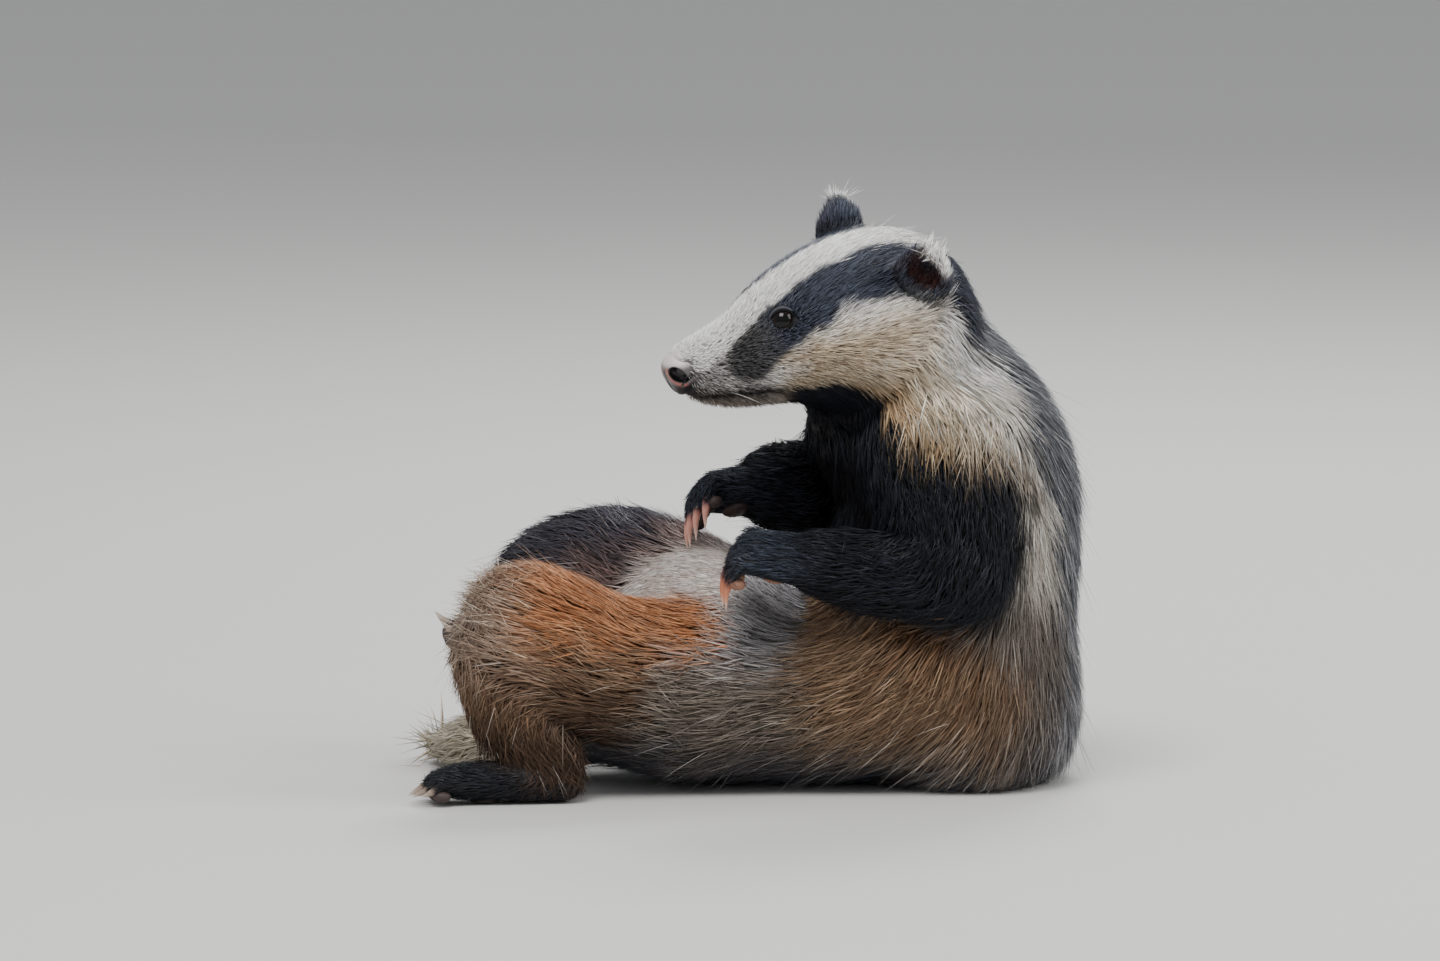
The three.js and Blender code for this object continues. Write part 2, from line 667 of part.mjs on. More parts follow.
// Fields of what the locks keep clear of
const legFields = [];
for (const leg of Object.values(FORELEGS))
  legFields.push(
    limb(leg.upper, CHEST_LEFT),
    limb(leg.lower, CHEST_LEFT),
    limb([leg.lower.at(-1), [leg.knuckle, FORE_PAW.wide, FORE_PAW.wide]], CHEST_LEFT),
  );
for (const leg of Object.values(HINDLEGS)) legFields.push(limb(leg.thigh, HIP_LEFT), limb(leg.shin, HIP_LEFT));
const earFields = [1, -1].map((hand) => ball([inHead(108, 37 * hand, 20), at(21, 21, 21)]));
const trunkCoat = { field: body, lie: trunkLie, share: trunkShare, others: [...legFields, ...earFields, tail] };
const trunkSides = { sides: 26, side: HIP_LEFT, flatStart: true, flatEnd: true };

for (const [i, spot] of eyeSpots.entries())
  place(["eye_left", "eye_right"][i], (level) => eyeball(spot, level), EYE);
place("nose", (level) => {
  const pad = noseSolid(level);
  return level > 0 ? pad : pad.subtract(nostril(1)).subtract(nostril(-1));
}, BLACK_SKIN);
place("abdomen", coated(abdomenSpine, { ...trunkSides, rings: 7, flatStart: false }, trunkCoat), FLANK);
place("loins", coated(loinSpine, { ...trunkSides, rings: 8 }, trunkCoat), FLANK);
place("chest", coated(chestSpine, { ...trunkSides, rings: 7 }, trunkCoat), GRIZZLE);
place("neck", coated(neckSpine, { ...trunkSides, rings: 5 }, trunkCoat), GRIZZLE);
const skull = coated(headSpine, { rings: 13, sides: 24, side: LEFT, flatStart: true, caps: 2 }, trunkCoat);
place("head", (level) => {
  const lidded = eyeSpots.reduce((sum, spot) => sum.add(lids(spot)), skull(level));
  const lipped = lidded.add(alongMouth(3.6, 1.7));
  return level > 0 ? lipped : lipped.subtract(alongMouth(0.9, 2.4));
}, FACE);
for (const hand of [1, -1]) place(hand > 0 ? "ear_left" : "ear_right", () => earSolid(hand), BLACK_FUR);

const claws = [];
for (const [name, leg] of Object.entries(FORELEGS)) {
  const wrist = leg.lower.at(-1)[0];
  const seam = [wrist, leg.knuckle.clone().sub(leg.lower.at(-2)[0]).normalize()];
  const settings = { rings: 4, sides: 14, roundStart: true };
  const lower = limbSkin(limb(leg.lower, CHEST_LEFT), leg.lower, CHEST_LEFT, { ...settings, seam });
  const upper = limbSkin(limb(leg.upper, CHEST_LEFT), leg.upper, CHEST_LEFT, settings);
  const paw = pawOf({ ...leg, from: wrist, seam }, FORE_PAW);
  place(`upperarm_${name}`, upper, BLACK_FUR);
  place(`foreleg_${name}`, lower, BLACK_FUR);
  place(`forepaw_${name}`, paw.solid, BLACK_FUR);
  paw.claws.forEach((claw, i) => claws.push([`fore_claw_${name}_${5 - i}`, claw]));
}
for (const [name, leg] of Object.entries(HINDLEGS)) {
  place(`thigh_${name}`, limbSkin(limb(leg.thigh, HIP_LEFT), leg.thigh, HIP_LEFT, { rings: 6, sides: 18 }), FLANK);
  place(`shin_${name}`, limbSkin(limb(leg.shin, HIP_LEFT), leg.shin, HIP_LEFT, { rings: 5, sides: 14 }),
    name === "left" ? FLANK : BLACK_FUR);
  const paw = pawOf({ ...leg, from: leg.heel }, HIND_PAW);
  place(`hindfoot_${name}`, paw.solid, BLACK_FUR);
  paw.claws.forEach((claw, i) => claws.push([`hind_claw_${name}_${5 - i}`, claw]));
}
place("tail", limbSkin(tail, TAIL, HIP_LEFT, { rings: 6, sides: 14 }), PALE_TAIL);
for (const [name, claw] of claws) place(name, claw, HORN);

export default badger;
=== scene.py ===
# A young European badger, sitting back on its rump with its head turned over its left shoulder.
# Shapes are worked out in millimetres, in the frame's own axes, and made in metres.
import math

import bpy
import numpy as np
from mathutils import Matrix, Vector
from mathutils.kdtree import KDTree


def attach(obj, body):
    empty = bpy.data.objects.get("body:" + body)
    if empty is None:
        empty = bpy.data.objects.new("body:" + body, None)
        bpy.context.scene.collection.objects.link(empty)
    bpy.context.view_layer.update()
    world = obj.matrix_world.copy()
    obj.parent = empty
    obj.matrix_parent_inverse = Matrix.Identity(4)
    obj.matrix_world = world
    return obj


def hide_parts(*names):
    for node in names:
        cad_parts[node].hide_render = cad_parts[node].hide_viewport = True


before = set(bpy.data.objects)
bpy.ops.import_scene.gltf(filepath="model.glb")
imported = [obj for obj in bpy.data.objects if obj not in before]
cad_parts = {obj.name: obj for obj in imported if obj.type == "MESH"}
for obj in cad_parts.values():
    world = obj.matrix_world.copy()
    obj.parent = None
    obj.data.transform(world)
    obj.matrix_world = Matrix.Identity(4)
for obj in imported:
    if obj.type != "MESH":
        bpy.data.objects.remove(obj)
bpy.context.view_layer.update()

MM = 0.001
random = np.random.default_rng(5)


# Small helpers
def vec(*values):
    return np.array(values, dtype=np.float64)


def unit(v):
    return v / np.maximum(np.linalg.norm(v, axis=-1, keepdims=True), 1e-9)


def dot(a, b):
    return (a * b).sum(axis=-1)


def square_to(v, axis):
    """The direction of v with its part along the axis taken out."""
    return unit(v - dot(v, axis)[..., None] * axis)


def gap(points, place):
    return np.linalg.norm(points - place, axis=1)


def ramp(value, low, high):
    t = np.clip((value - low) / (high - low), 0, 1)
    return t * t * (3 - 2 * t)


def fall(value, low, high):
    return 1 - ramp(value, low, high)


def bump(value, centre, width):
    return np.exp(-(((value - centre) / width) ** 2))


def linear(red, green, blue):
    """A colour given as 0 to 255 on screen, as the linear numbers that materials use."""
    c = vec(red, green, blue) / 255
    return np.where(c <= 0.04045, c / 12.92, ((c + 0.055) / 1.055) ** 2.4)


def tinted(colours, tint, share):
    """The colours with a share of a tint over them."""
    return colours + (tint - colours) * share[:, None]


def blended(a, b, reach):
    """The field of two joined shapes, with a soft fillet between them."""
    h = np.maximum(reach - np.abs(a - b), 0) / reach
    return np.minimum(a, b) - h * h * reach / 4


# The head's own frame: back from the nose tip, out to the animal's left, and up
NOSE_TIP = vec(-58, -47, 177)
FORWARD = unit(vec(-0.869, -0.408, -0.278))
LEFT = square_to(vec(0.467, -0.865, -0.19), FORWARD)
UP = np.cross(FORWARD, LEFT)
HIP_LEFT = vec(0, -1, 0)
CHEST_LEFT = unit(vec(0.26, -0.965, 0))


def in_head(back, left, up):
    return NOSE_TIP - FORWARD * back + LEFT * left + UP * up


def to_head(p):
    d = p - NOSE_TIP
    return -d @ FORWARD, d @ LEFT, d @ UP


# Each station of a limb is its centre, its half width towards the side, and its half depth
TRUNK = [
    ((-82, 4, 32), 34, 27),
    ((-56, 3, 38), 56, 38),
    ((-15, 5, 36), 66, 39),
    ((28, 8, 42), 71, 46),
    ((58, 10, 64), 72, 55),
    ((65, 12, 96), 69, 54),
    ((67, 12, 122), 63, 52),
    ((64, 11, 142), 56, 47),
    ((54, 7, 160), 50, 42),
    ((41, 2, 177), 46, 40),
    ((29, -4, 189), 43, 37),
]
LOIN = (vec(73, 9, 32), vec(48, 66, 50))
PAUNCH = (vec(-38, 2, 62), vec(40, 42, 34))
BRISKET = (vec(26, 14, 148), vec(25, 34, 25))

# Each station of the head is how far back it is, its top, its underside and its half width
HEAD_PROFILE = [
    (15, 10.6, -17, 12.6),
    (27, 12.6, -24, 16.4),
    (38, 14.8, -28, 19.6),
    (50, 18.5, -30.5, 24),
    (62, 23, -32.5, 30.5),
    (74, 26, -34, 37.5),
    (86, 27.5, -37, 42),
    (98, 27, -40, 44.5),
    (108, 25.5, -41, 44),
]
TAIL = [
    ((-88, 4, 26), 20, 18),
    ((-110, 8, 18), 20, 18),
    ((-134, 22, 14), 17, 15),
    ((-150, 42, 9), 9, 9.5),
]
EYE_RADIUS = 5.6
MOUTH_FRONT, MOUTH_CORNER = 15, 42
MOUTH_UP = -12.5

FORE_PAW = dict(wide=16, deep=10.5, root=1.35, toe=4.8, toe_length=14, arch=1, droop=9, spread=0.1, claw=17)
HIND_PAW = dict(wide=13, deep=10, root=1.1, toe=4.5, toe_length=15, arch=1, droop=2.5, spread=0.14, claw=10)

FORELEGS = {
    "left": dict(
        upper=[((60, -27, 142), 33, 39), ((64, -44, 117), 27, 32), ((66, -57, 95), 21, 24)],
        lower=[((66, -57, 95), 20, 22), ((38, -60, 95), 18, 21), ((10, -58, 99), 14, 16.5)],
        knuckle=(-16, -55, 103), thumb_side=(-0.3, 0.85, 0.32), claw_aim=(-0.12, 0.05, -1),
    ),
    "right": dict(
        upper=[((58, 45, 142), 32, 38), ((54, 58, 120), 26, 30), ((47, 66, 102), 20, 23)],
        lower=[((47, 66, 102), 20, 23), ((16, 46, 114), 18, 26), ((-12, 29, 121), 15, 20)],
        knuckle=(-34, 22, 119.5), thumb_side=(0.5, -0.65, 0.4), claw_aim=(-0.05, -0.1, -1),
    ),
}
HINDLEGS = {
    "left": dict(
        upper=[
            ((-46, -32, 44), 33, 39), ((-80, -48, 54), 30, 33), ((-104, -55, 66), 28, 32),
            ((-116, -58, 72), 27, 31),
        ],
        lower=[((-118, -58, 60), 23, 29), ((-116, -61, 38), 18, 24), ((-104, -63, 18), 14, 16)],
        heel=(-100, -63, 10), knuckle=(-142, -67, 9), thumb_side=(0, 1, 0), claw_aim=(-0.85, 0, -0.4),
        sole=(0, 0, -1),
    ),
    "right": dict(
        upper=[
            ((-44, 34, 60), 34, 40), ((-72, 52, 75), 29, 37), ((-96, 68, 80), 24, 27),
            ((-109, 76, 78), 20, 20),
        ],
        lower=[((-110, 77, 72), 19, 20), ((-117, 81, 46), 16, 18), ((-120, 84, 20), 12, 13)],
        heel=(-119, 84, 10), knuckle=(-140, 86, 44), thumb_side=(0, -1, 0.05), claw_aim=(-0.7, 0, 0.6),
        sole=(-0.85, 0, -0.5),
    ),
}

# How deep the coat lies over the skin of each kind of limb
COAT = dict(face=2.0, body=9.0, upper_fore=5.5, lower_fore=3.8, fore_paw=1.8, upper_hind=6.5,
            lower_hind=4.0, hind_paw=1.8, tail=6.0, ear=2.0)


# Fields: negative inside, and about the distance in millimetres to the surface
FAR = 40.0
REACH = 22


def spline(points, u):
    """A point on the curve through evenly timed points."""
    p = np.asarray(points, dtype=float)
    last = len(p) - 1
    i = min(int(u * last), last - 1)
    w = u * last - i
    before = p[i - 1] if i > 0 else 2 * p[0] - p[1]
    after = p[i + 2] if i + 2 <= last else 2 * p[last] - p[last - 1]
    v0 = (p[i + 1] - before) / 2
    v1 = (after - p[i]) / 2
    a = 2 * p[i] - 2 * p[i + 1] + v0 + v1
    b = -3 * p[i] + 3 * p[i + 1] - 2 * v0 - v1
    return ((a * w + b) * w + v0) * w + p[i]


def links_of(stations, side, last_side=None, steps=3):
    """Short straight links along a limb: where each starts, the way it runs, its length, its two
    directions across, and its half width and half depth at both ends."""
    last_side = side if last_side is None else last_side
    centres = [s[0] for s in stations]
    sizes = [s[1:] for s in stations]
    count = (len(stations) - 1) * steps
    links = []
    for i in range(count):
        a = spline(centres, i / count)
        b = spline(centres, (i + 1) / count)
        length = np.linalg.norm(b - a)
        along = (b - a) / length
        across = square_to(side + (last_side - side) * (i + 0.5) / count, along)
        over = np.cross(along, across)
        first = spline(sizes, i / count)
        last = spline(sizes, (i + 1) / count)
        links.append((a, along, length, across, over, first, last))
    return links


def from_line(points, start, along, length):
    """How far along a straight line each point lies, from 0 to 1, and its offset from there."""
    d = points - start
    t = np.clip(d @ along / length, 0, 1)
    return t, d - np.outer(t * length, along)


def nearer_lines(lines, points):
    """For each straight line: how far along it each point lies, the points' offsets from it, and
    which of them are nearer to it than to all the lines before."""
    best = np.full(len(points), 1e9)
    for start, along, length in lines:
        t, d = from_line(points, start, along, length)
        off = np.sqrt(dot(d, d))
        nearer = off < best
        best[nearer] = off[nearer]
        yield t, d, nearer


def to_surface(d, q):
    """About how far a point is outside, from its offset and that offset in units of the radius."""
    return np.sqrt(dot(d, d)) * (1 - 1 / np.maximum(q, 1e-3))


def limb(links, points):
    """The field of a limb, worked out only inside the box that holds it."""
    ends = np.array([k[0] for k in links] + [links[-1][0] + links[-1][1] * links[-1][2]])
    room = max(max(k[5].max(), k[6].max()) for k in links) + REACH
    near = np.all((points > ends.min(0) - room) & (points < ends.max(0) + room), axis=1)
    best = np.full(len(points), FAR)
    p = points[near]
    found = np.full(len(p), FAR)
    for a, along, length, across, over, first, last in links:
        t, d = from_line(p, a, along, length)
        wide = first[0] + (last[0] - first[0]) * t
        deep = first[1] + (last[1] - first[1]) * t
        end = np.minimum(wide, deep)
        q = np.sqrt((d @ across / wide) ** 2 + (d @ over / deep) ** 2 + (d @ along / end) ** 2)
        found = np.minimum(found, to_surface(d, q))
    best[near] = found
    return best


def ball(centre, radii, points, turn=None):
    """The field of an egg shape, turned to its own axes if it has any."""
    d = points - centre
    turned = d if turn is None else d @ turn
    return to_surface(d, np.sqrt(((turned / radii) ** 2).sum(1)))


def paw_plan(leg, size, start):
    """The palm, toes and directions of a paw, from its wrist or heel."""
    knuckle = vec(*leg["knuckle"])
    aim = unit(vec(*leg["claw_aim"]))
    forward = unit(knuckle - start)
    across = square_to(vec(*leg["thumb_side"]), forward)
    down = vec(*leg.get("sole", leg["claw_aim"]))
    down = square_to(down - dot(down, forward) * forward, across)
    palm = links_of([
        (start, size["wide"] * 0.87, size["deep"] * size["root"]),
        ((start + knuckle) / 2, size["wide"], size["deep"]),
        (knuckle, size["wide"], size["deep"] * 0.85),
    ], across)
    toes = []
    for i in range(-2, 3):
        place = i / 2
        heading = forward + across * place * size["spread"]
        length = size["toe_length"] * (1 - 0.2 * place * place)
        root = knuckle + across * place * size["wide"] * 0.84
        middle = root + heading * length * 0.55 - down * size["arch"]
        tip = root + heading * length + down * size["droop"]
        toes.append(dict(place=place, root=root, middle=middle, tip=tip))
    return dict(palm=palm, toes=toes, across=across, down=down, forward=forward, aim=aim, size=size,
                start=start, knuckle=knuckle)


def toe_links(paw):
    links = []
    for toe in paw["toes"]:
        r = paw["size"]["toe"]
        end = toe["tip"] - unit(toe["tip"] - toe["middle"]) * r * 0.7
        links += links_of([(toe["root"], r * 0.85, r * 0.85), (toe["middle"], r * 0.98, r),
                           (end, r * 0.78, r * 0.82)], paw["across"], steps=2)
    return links


def head_stations(profile):
    return [(in_head(b, 0, (t + u) / 2), w, (t - u) / 2) for b, t, u, w in profile]


paws = {}
for name, leg in FORELEGS.items():
    paws["fore_" + name] = paw_plan(leg, FORE_PAW, vec(*leg["lower"][-1][0]))
for name, leg in HINDLEGS.items():
    paws["hind_" + name] = paw_plan(leg, HIND_PAW, vec(*leg["heel"]))

head_links = links_of(head_stations(HEAD_PROFILE), LEFT)
trunk_links = links_of(TRUNK, HIP_LEFT, CHEST_LEFT)
tail_links = links_of(TAIL, HIP_LEFT)

# Limbs in the order in which they are joined: name, links, coat depth and how softly they join
limbs = []
all_legs = [("fore", name, leg, CHEST_LEFT) for name, leg in FORELEGS.items()]
all_legs += [("hind", name, leg, HIP_LEFT) for name, leg in HINDLEGS.items()]
for kind, name, leg, side in all_legs:
    limbs.append((f"{kind}_{name}_upper", links_of(leg["upper"], side), COAT["upper_" + kind], 16))
for kind, name, leg, side in all_legs:
    paw = paws[f"{kind}_{name}"]
    limbs.append((f"{kind}_{name}_lower", links_of(leg["lower"], side), COAT["lower_" + kind], 7))
    limbs.append((f"{kind}_{name}_palm", paw["palm"], COAT[kind + "_paw"], 4))
    limbs.append((f"{kind}_{name}_toes", toe_links(paw), COAT[kind + "_paw"], 1.6))
limbs.append(("tail", tail_links, COAT["tail"], 8))

# Ears: an upright shell with a cup let into its front
ears = {}
for name, hand in (("left", 1), ("right", -1)):
    tall = unit(UP * 0.85 + LEFT * 0.4 * hand - FORWARD * 0.3)
    front = square_to(FORWARD * 0.65 + LEFT * 0.76 * hand, tall)
    base = in_head(107, 34.5 * hand, 14)
    ears[name] = dict(base=base, tall=tall, front=front, side=np.cross(tall, front), hand=hand)


def ear_field(ear, points, grown):
    turn = np.stack([ear["front"], ear["side"], ear["tall"]], axis=1)
    shell = ball(ear["base"] + ear["tall"], vec(9.2, 12.0, 14.6) + grown, points, turn)
    cup_at = ear["base"] + ear["tall"] * 7.5 + ear["front"] * 6
    cup = ball(cup_at, vec(8, 9.4, 9.4) - grown, points, turn)
    return -blended(-shell, cup, 1.5)


# The middle line from the nose tip to the rump, with the left side of the body along it
HEAD_LINE = [(0, 0), (17, -3.6), (50, -4.7), (86, -4.7), (98, -6)]
NECK_POINT = vec(41, 2, 180)
LINE = [in_head(back, 0, up) for back, up in HEAD_LINE] + [NECK_POINT]
LINE = np.array(LINE + [vec(*TRUNK[i][0]) for i in (8, 7, 6, 5, 4, 3, 2, 1, 0)])
LINE_LEFT = [LEFT] * 5 + [LEFT * 0.6 + CHEST_LEFT * 0.4, LEFT * 0.25 + CHEST_LEFT * 0.75]
LINE_LEFT += [CHEST_LEFT] * 2
LINE_LEFT += [CHEST_LEFT * 0.7 + HIP_LEFT * 0.3, CHEST_LEFT * 0.4 + HIP_LEFT * 0.6] + [HIP_LEFT] * 4
LINE_LEFT = unit(np.array(LINE_LEFT))
LINE_STEP = np.linalg.norm(np.diff(LINE, axis=0), axis=1)
LINE_AT = np.concatenate([[0], np.cumsum(LINE_STEP)])


def along_body(points):
    """How far each point is from the nose along the middle line, its angle above the side, from
    -90 at the belly to 90 at the back, its angle all the way round, and the way the line runs."""
    far, angle, full = np.zeros((3, len(points)))
    heading = np.zeros((len(points), 3))
    runs = np.diff(LINE, axis=0) / LINE_STEP[:, None]
    for i, (t, d, nearer) in enumerate(nearer_lines(zip(LINE, runs, LINE_STEP), points)):
        run = runs[i]
        side = LINE_LEFT[i] * (1 - t)[:, None] + LINE_LEFT[i + 1] * t[:, None]
        side = unit(side - (side @ run)[:, None] * run)
        back = np.cross(side, run)
        far[nearer] = (LINE_AT[i] + t * LINE_STEP[i])[nearer]
        height, out = dot(d, back), dot(d, side)
        angle[nearer] = np.degrees(np.arctan2(height, np.abs(out)))[nearer]
        full[nearer] = np.degrees(np.arctan2(height, out))[nearer]
        heading[nearer] = run
    return far, angle, full, heading


NAPE = (vec(28, -5, 196), unit(vec(-0.705, -0.493, 0.512)))
WAIST_TURN = vec(5, 0, 112)


def body_share(p):
    """The share of the full coat on the head and trunk: little on the face, lap and belly fold."""
    past_nape = (NAPE[0] - p) @ NAPE[1]
    neck = ramp(np.maximum(past_nape, 160 - p[:, 2]), 0, 35)
    cheek = ramp(past_nape + 32, 0, 36) * ramp(9 - (p - NOSE_TIP) @ UP, 0, 16)
    lap = 1 - ramp(p[:, 2], 50, 75) * ramp(20 - p[:, 0], 0, 25)
    rump = 0.35 + 0.65 * ramp(p[:, 0], -95, -70)
    fold = 0.45 + 0.55 * ramp(np.hypot(p[:, 0] - WAIST_TURN[0], p[:, 2] - WAIST_TURN[2]), 30, 55)
    return np.maximum(np.maximum(neck, cheek) * lap * rump * fold, 0.16 * (1 - lap))


def way_out(start, ray, step):
    """How far the head's surface is from a place inside it, along a ray."""
    reach = np.arange(0, 60, step)
    return reach[np.argmax(limb(head_links, start + reach[:, None] * ray) > 0)]


def eye_spot(hand):
    """Where an eye comes out of the head, and which way it looks."""
    ray = unit(FORWARD * 0.36 + LEFT * 0.82 * hand + UP * 0.45)
    start = in_head(56, 6 * hand, 6)
    surface = start + ray * way_out(start, ray, 0.05)
    return dict(ray=ray, surface=surface, centre=surface - ray * 0.6 * EYE_RADIUS, hand=hand)


eyes = {"left": eye_spot(1), "right": eye_spot(-1)}


def mouth_curve():
    """Points on the skin along the mouth, from corner to corner round the front."""
    line = []
    for hand in (1, -1):
        half = []
        for angle in (0.02, 0.35, 0.7, 1.05):
            ray = FORWARD * math.cos(angle) + LEFT * hand * math.sin(angle)
            half.append((MOUTH_FRONT, MOUTH_UP, ray))
        for back in np.arange(MOUTH_FRONT, MOUTH_CORNER + 1, 4.5):
            droop = 4.5 * (back - MOUTH_FRONT) / (MOUTH_CORNER - MOUTH_FRONT)
            half.append((back, MOUTH_UP - droop, LEFT * hand))
        points = []
        for back, up, ray in half:
            start = in_head(back, 0, up)
            points.append(start + ray * (way_out(start, ray, 0.1) - COAT["face"]))
        line.append(points[::-1] if hand > 0 else points[1:])
    return np.array(line[0] + line[1])


MOUTH = mouth_curve()


def tube_distance(line, points):
    """How far each point is from a line of points."""
    best = np.full(len(points), FAR)
    for a, b in zip(line[:-1], line[1:]):
        run = b - a
        t = np.clip((points - a) @ run / dot(run, run), 0, 1)
        d = points - a - np.outer(t, run)
        best = np.minimum(best, np.sqrt(dot(d, d)))
    return best


# The strip of short fur over the top of the nose
BRIDGE = links_of([(in_head(22, 0, 1.5), 8, 8), (in_head(9.2, 0, 3.2), 6.2, 5.0)], LEFT)


def face_detail(points, field):
    """Brows, the skin drawn up round the eyes, and the parted lips, added to the skin."""
    near = np.all(np.abs(points - in_head(45, 0, -2)) < 75, axis=1)
    p = points[near]
    back, _, up = to_head(p)
    # Thinner round the nose pad
    bare = fall(back, 7, 17) * ramp(up, -9, -6)
    f = blended(field[near] + 1.6 * bare, limb(BRIDGE, p), 4)
    for eye in eyes.values():
        brow = eye["surface"] + UP * 8 - FORWARD * 2
        f -= 0.9 * bump(gap(p, eye["surface"]), 0, 9)
        f -= 0.9 * bump(gap(p, brow), 0, 5)
    to_mouth = tube_distance(MOUTH, p)
    f -= 0.9 * bump(to_mouth, 0, 3.2)
    f += 2.3 * bump(to_mouth, 0, 0.9)
    field[near] = f
    return field


TRUNK_FILLET = 14


def fields(points):
    """The skin's field and that of the coat's surface."""
    head = limb(head_links, points)
    trunk = limb(trunk_links, points)
    bulk = trunk
    for swelling in (LOIN, PAUNCH, BRISKET):
        bulk = blended(bulk, ball(*swelling, points), TRUNK_FILLET)
    coat = blended(bulk, head, TRUNK_FILLET)
    skin = coat + COAT["face"] + (COAT["body"] - COAT["face"]) * body_share(points)
    for _, links, depth, reach in limbs:
        f = limb(links, points)
        coat = blended(coat, f, reach)
        skin = blended(skin, f + depth, reach)
    for ear in ears.values():
        coat = blended(coat, ear_field(ear, points, COAT["ear"]), 5)
        skin = blended(skin, ear_field(ear, points, 0), 5)
    return face_detail(points, skin), coat


# The skin as one mesh: a net over a grid that is finer round the head
def grid_line(low, high, fine_low, fine_high, fine, coarse):
    values = [low]
    while values[-1] < high:
        values.append(values[-1] + (fine if fine_low < values[-1] < fine_high else coarse))
    return np.array(values)


FINE, COARSE, ROUGH = 1.1, 1.9, 7.0
GRID = [
    grid_line(-170, 126, -66, 62, FINE, COARSE),
    grid_line(-92, 108, -86, 40, FINE, COARSE),
    grid_line(-6, 252, 150, 250, FINE, COARSE),
]


def lattice(lines):
    return np.stack(np.meshgrid(*lines, indexing="ij"), axis=-1).reshape(-1, 3)


def sampled(grid, points, lines=GRID):
    """The grid's value at any points."""
    low, part = [], []
    for line, place in zip(lines, points.T):
        i = np.clip(np.searchsorted(line, place) - 1, 0, len(line) - 2)
        low.append(i)
        part.append(np.clip((place - line[i]) / (line[i + 1] - line[i]), 0, 1))
    total = 0
    for corner in np.ndindex(2, 2, 2):
        weight = 1
        for axis in range(3):
            weight = weight * (part[axis] if corner[axis] else 1 - part[axis])
        total = total + weight * grid[low[0] + corner[0], low[1] + corner[1], low[2] + corner[2]]
    return total


def make_grids():
    """Both fields on the grid, worked out in full only near the two surfaces."""
    rough_lines = [np.arange(line[0] - 1, line[-1] + ROUGH + 1, ROUGH) for line in GRID]
    rough_shape = tuple(len(line) for line in rough_lines)
    rough = [f.reshape(rough_shape) for f in fields(lattice(rough_lines))]
    points = lattice(GRID)
    skin, coat = [sampled(f, points, rough_lines) for f in rough]
    near = np.minimum(np.abs(skin), np.abs(coat)) < ROUGH
    skin[near], coat[near] = fields(points[near])
    # The animal sits on flats at the floor
    skin = -blended(-skin, points[:, 2] - 0.6, 3)
    shape = tuple(len(line) for line in GRID)
    return skin.reshape(shape), coat.reshape(shape)


skin_grid, coat_grid = make_grids()


def slope(grid, points, step=1.0):
    parts = []
    for axis in range(3):
        e = np.zeros(3)
        e[axis] = step
        parts.append(sampled(grid, points + e) - sampled(grid, points - e))
    return unit(np.stack(parts, axis=1))


def net(values, lines):
    """Vertices and quads of the surface where the grid's values pass through zero."""
    inside = values < 0
    sizes = values.shape
    count = np.zeros([n - 1 for n in sizes], dtype=np.int8)
    for corner in np.ndindex(2, 2, 2):
        count += inside[tuple(slice(c, n - 1 + c) for c, n in zip(corner, sizes))]
    mixed_cells = (count > 0) & (count < 8)
    cells = np.argwhere(mixed_cells)
    number = np.full(mixed_cells.shape, -1)
    number[mixed_cells] = np.arange(len(cells))
    total = np.zeros((len(cells), 3))
    hits = np.zeros(len(cells))
    for axis in range(3):
        others = [k for k in range(3) if k != axis]
        for a, b in np.ndindex(2, 2):
            low = cells.copy()
            low[:, others[0]] += a
            low[:, others[1]] += b
            high = low.copy()
            high[:, axis] += 1
            v0, v1 = values[tuple(low.T)], values[tuple(high.T)]
            crossing = (v0 < 0) != (v1 < 0)
            point = low.astype(float)
            point[:, axis] += np.where(crossing, v0 / np.where(crossing, v0 - v1, 1), 0)
            total[crossing] += point[crossing]
            hits[crossing] += 1
    place = total / hits[:, None]
    points = np.stack([np.interp(place[:, k], np.arange(sizes[k]), lines[k]) for k in range(3)], axis=1)
    quads = []
    for axis in range(3):
        b, c = (axis + 1) % 3, (axis + 2) % 3
        low = [slice(None)] * 3
        high = [slice(None)] * 3
        low[axis], high[axis] = slice(None, -1), slice(1, None)
        edges = np.argwhere(inside[tuple(low)] != inside[tuple(high)])
        within = (edges[:, b] > 0) & (edges[:, b] < sizes[b] - 1)
        within &= (edges[:, c] > 0) & (edges[:, c] < sizes[c] - 1)
        edges = edges[within]
        corners = []
        for db, dc in ((0, 0), (-1, 0), (-1, -1), (0, -1)):
            cell = edges.copy()
            cell[:, b] += db
            cell[:, c] += dc
            corners.append(number[tuple(cell.T)])
        quad = np.stack(corners, axis=1)
        flip = ~inside[tuple(edges.T)]
        quad[flip] = quad[flip][:, ::-1]
        quads.append(quad)
    return points, np.concatenate(quads)


skin_points, skin_quads = net(skin_grid, GRID)
for _ in range(2):
    skin_points -= slope(skin_grid, skin_points) * sampled(skin_grid, skin_points)[:, None]
skin_points[:, 2] = np.maximum(skin_points[:, 2], 0.4)
skin_normals = slope(skin_grid, skin_points)

# Which limb each place belongs to, and the way its hair lies
GROUPS = ["body"] + [name for name, *_ in limbs] + ["ear_left", "ear_right"]


def limb_heading(links, points):
    """The way a limb runs, and how far along it and how far round it a point lies."""
    far, turn = np.zeros((2, len(points)))
    heading = np.zeros((len(points), 3))
    done = 0
    steps = nearer_lines([link[:3] for link in links], points)
    for (_, along, length, across, over, _, _), (t, d, nearer) in zip(links, steps):
        heading[nearer] = along
        far[nearer] = (done + t * length)[nearer]
        turn[nearer] = np.degrees(np.arctan2(d @ over, d @ across))[nearer]
        done += length
    return heading, far / done, turn


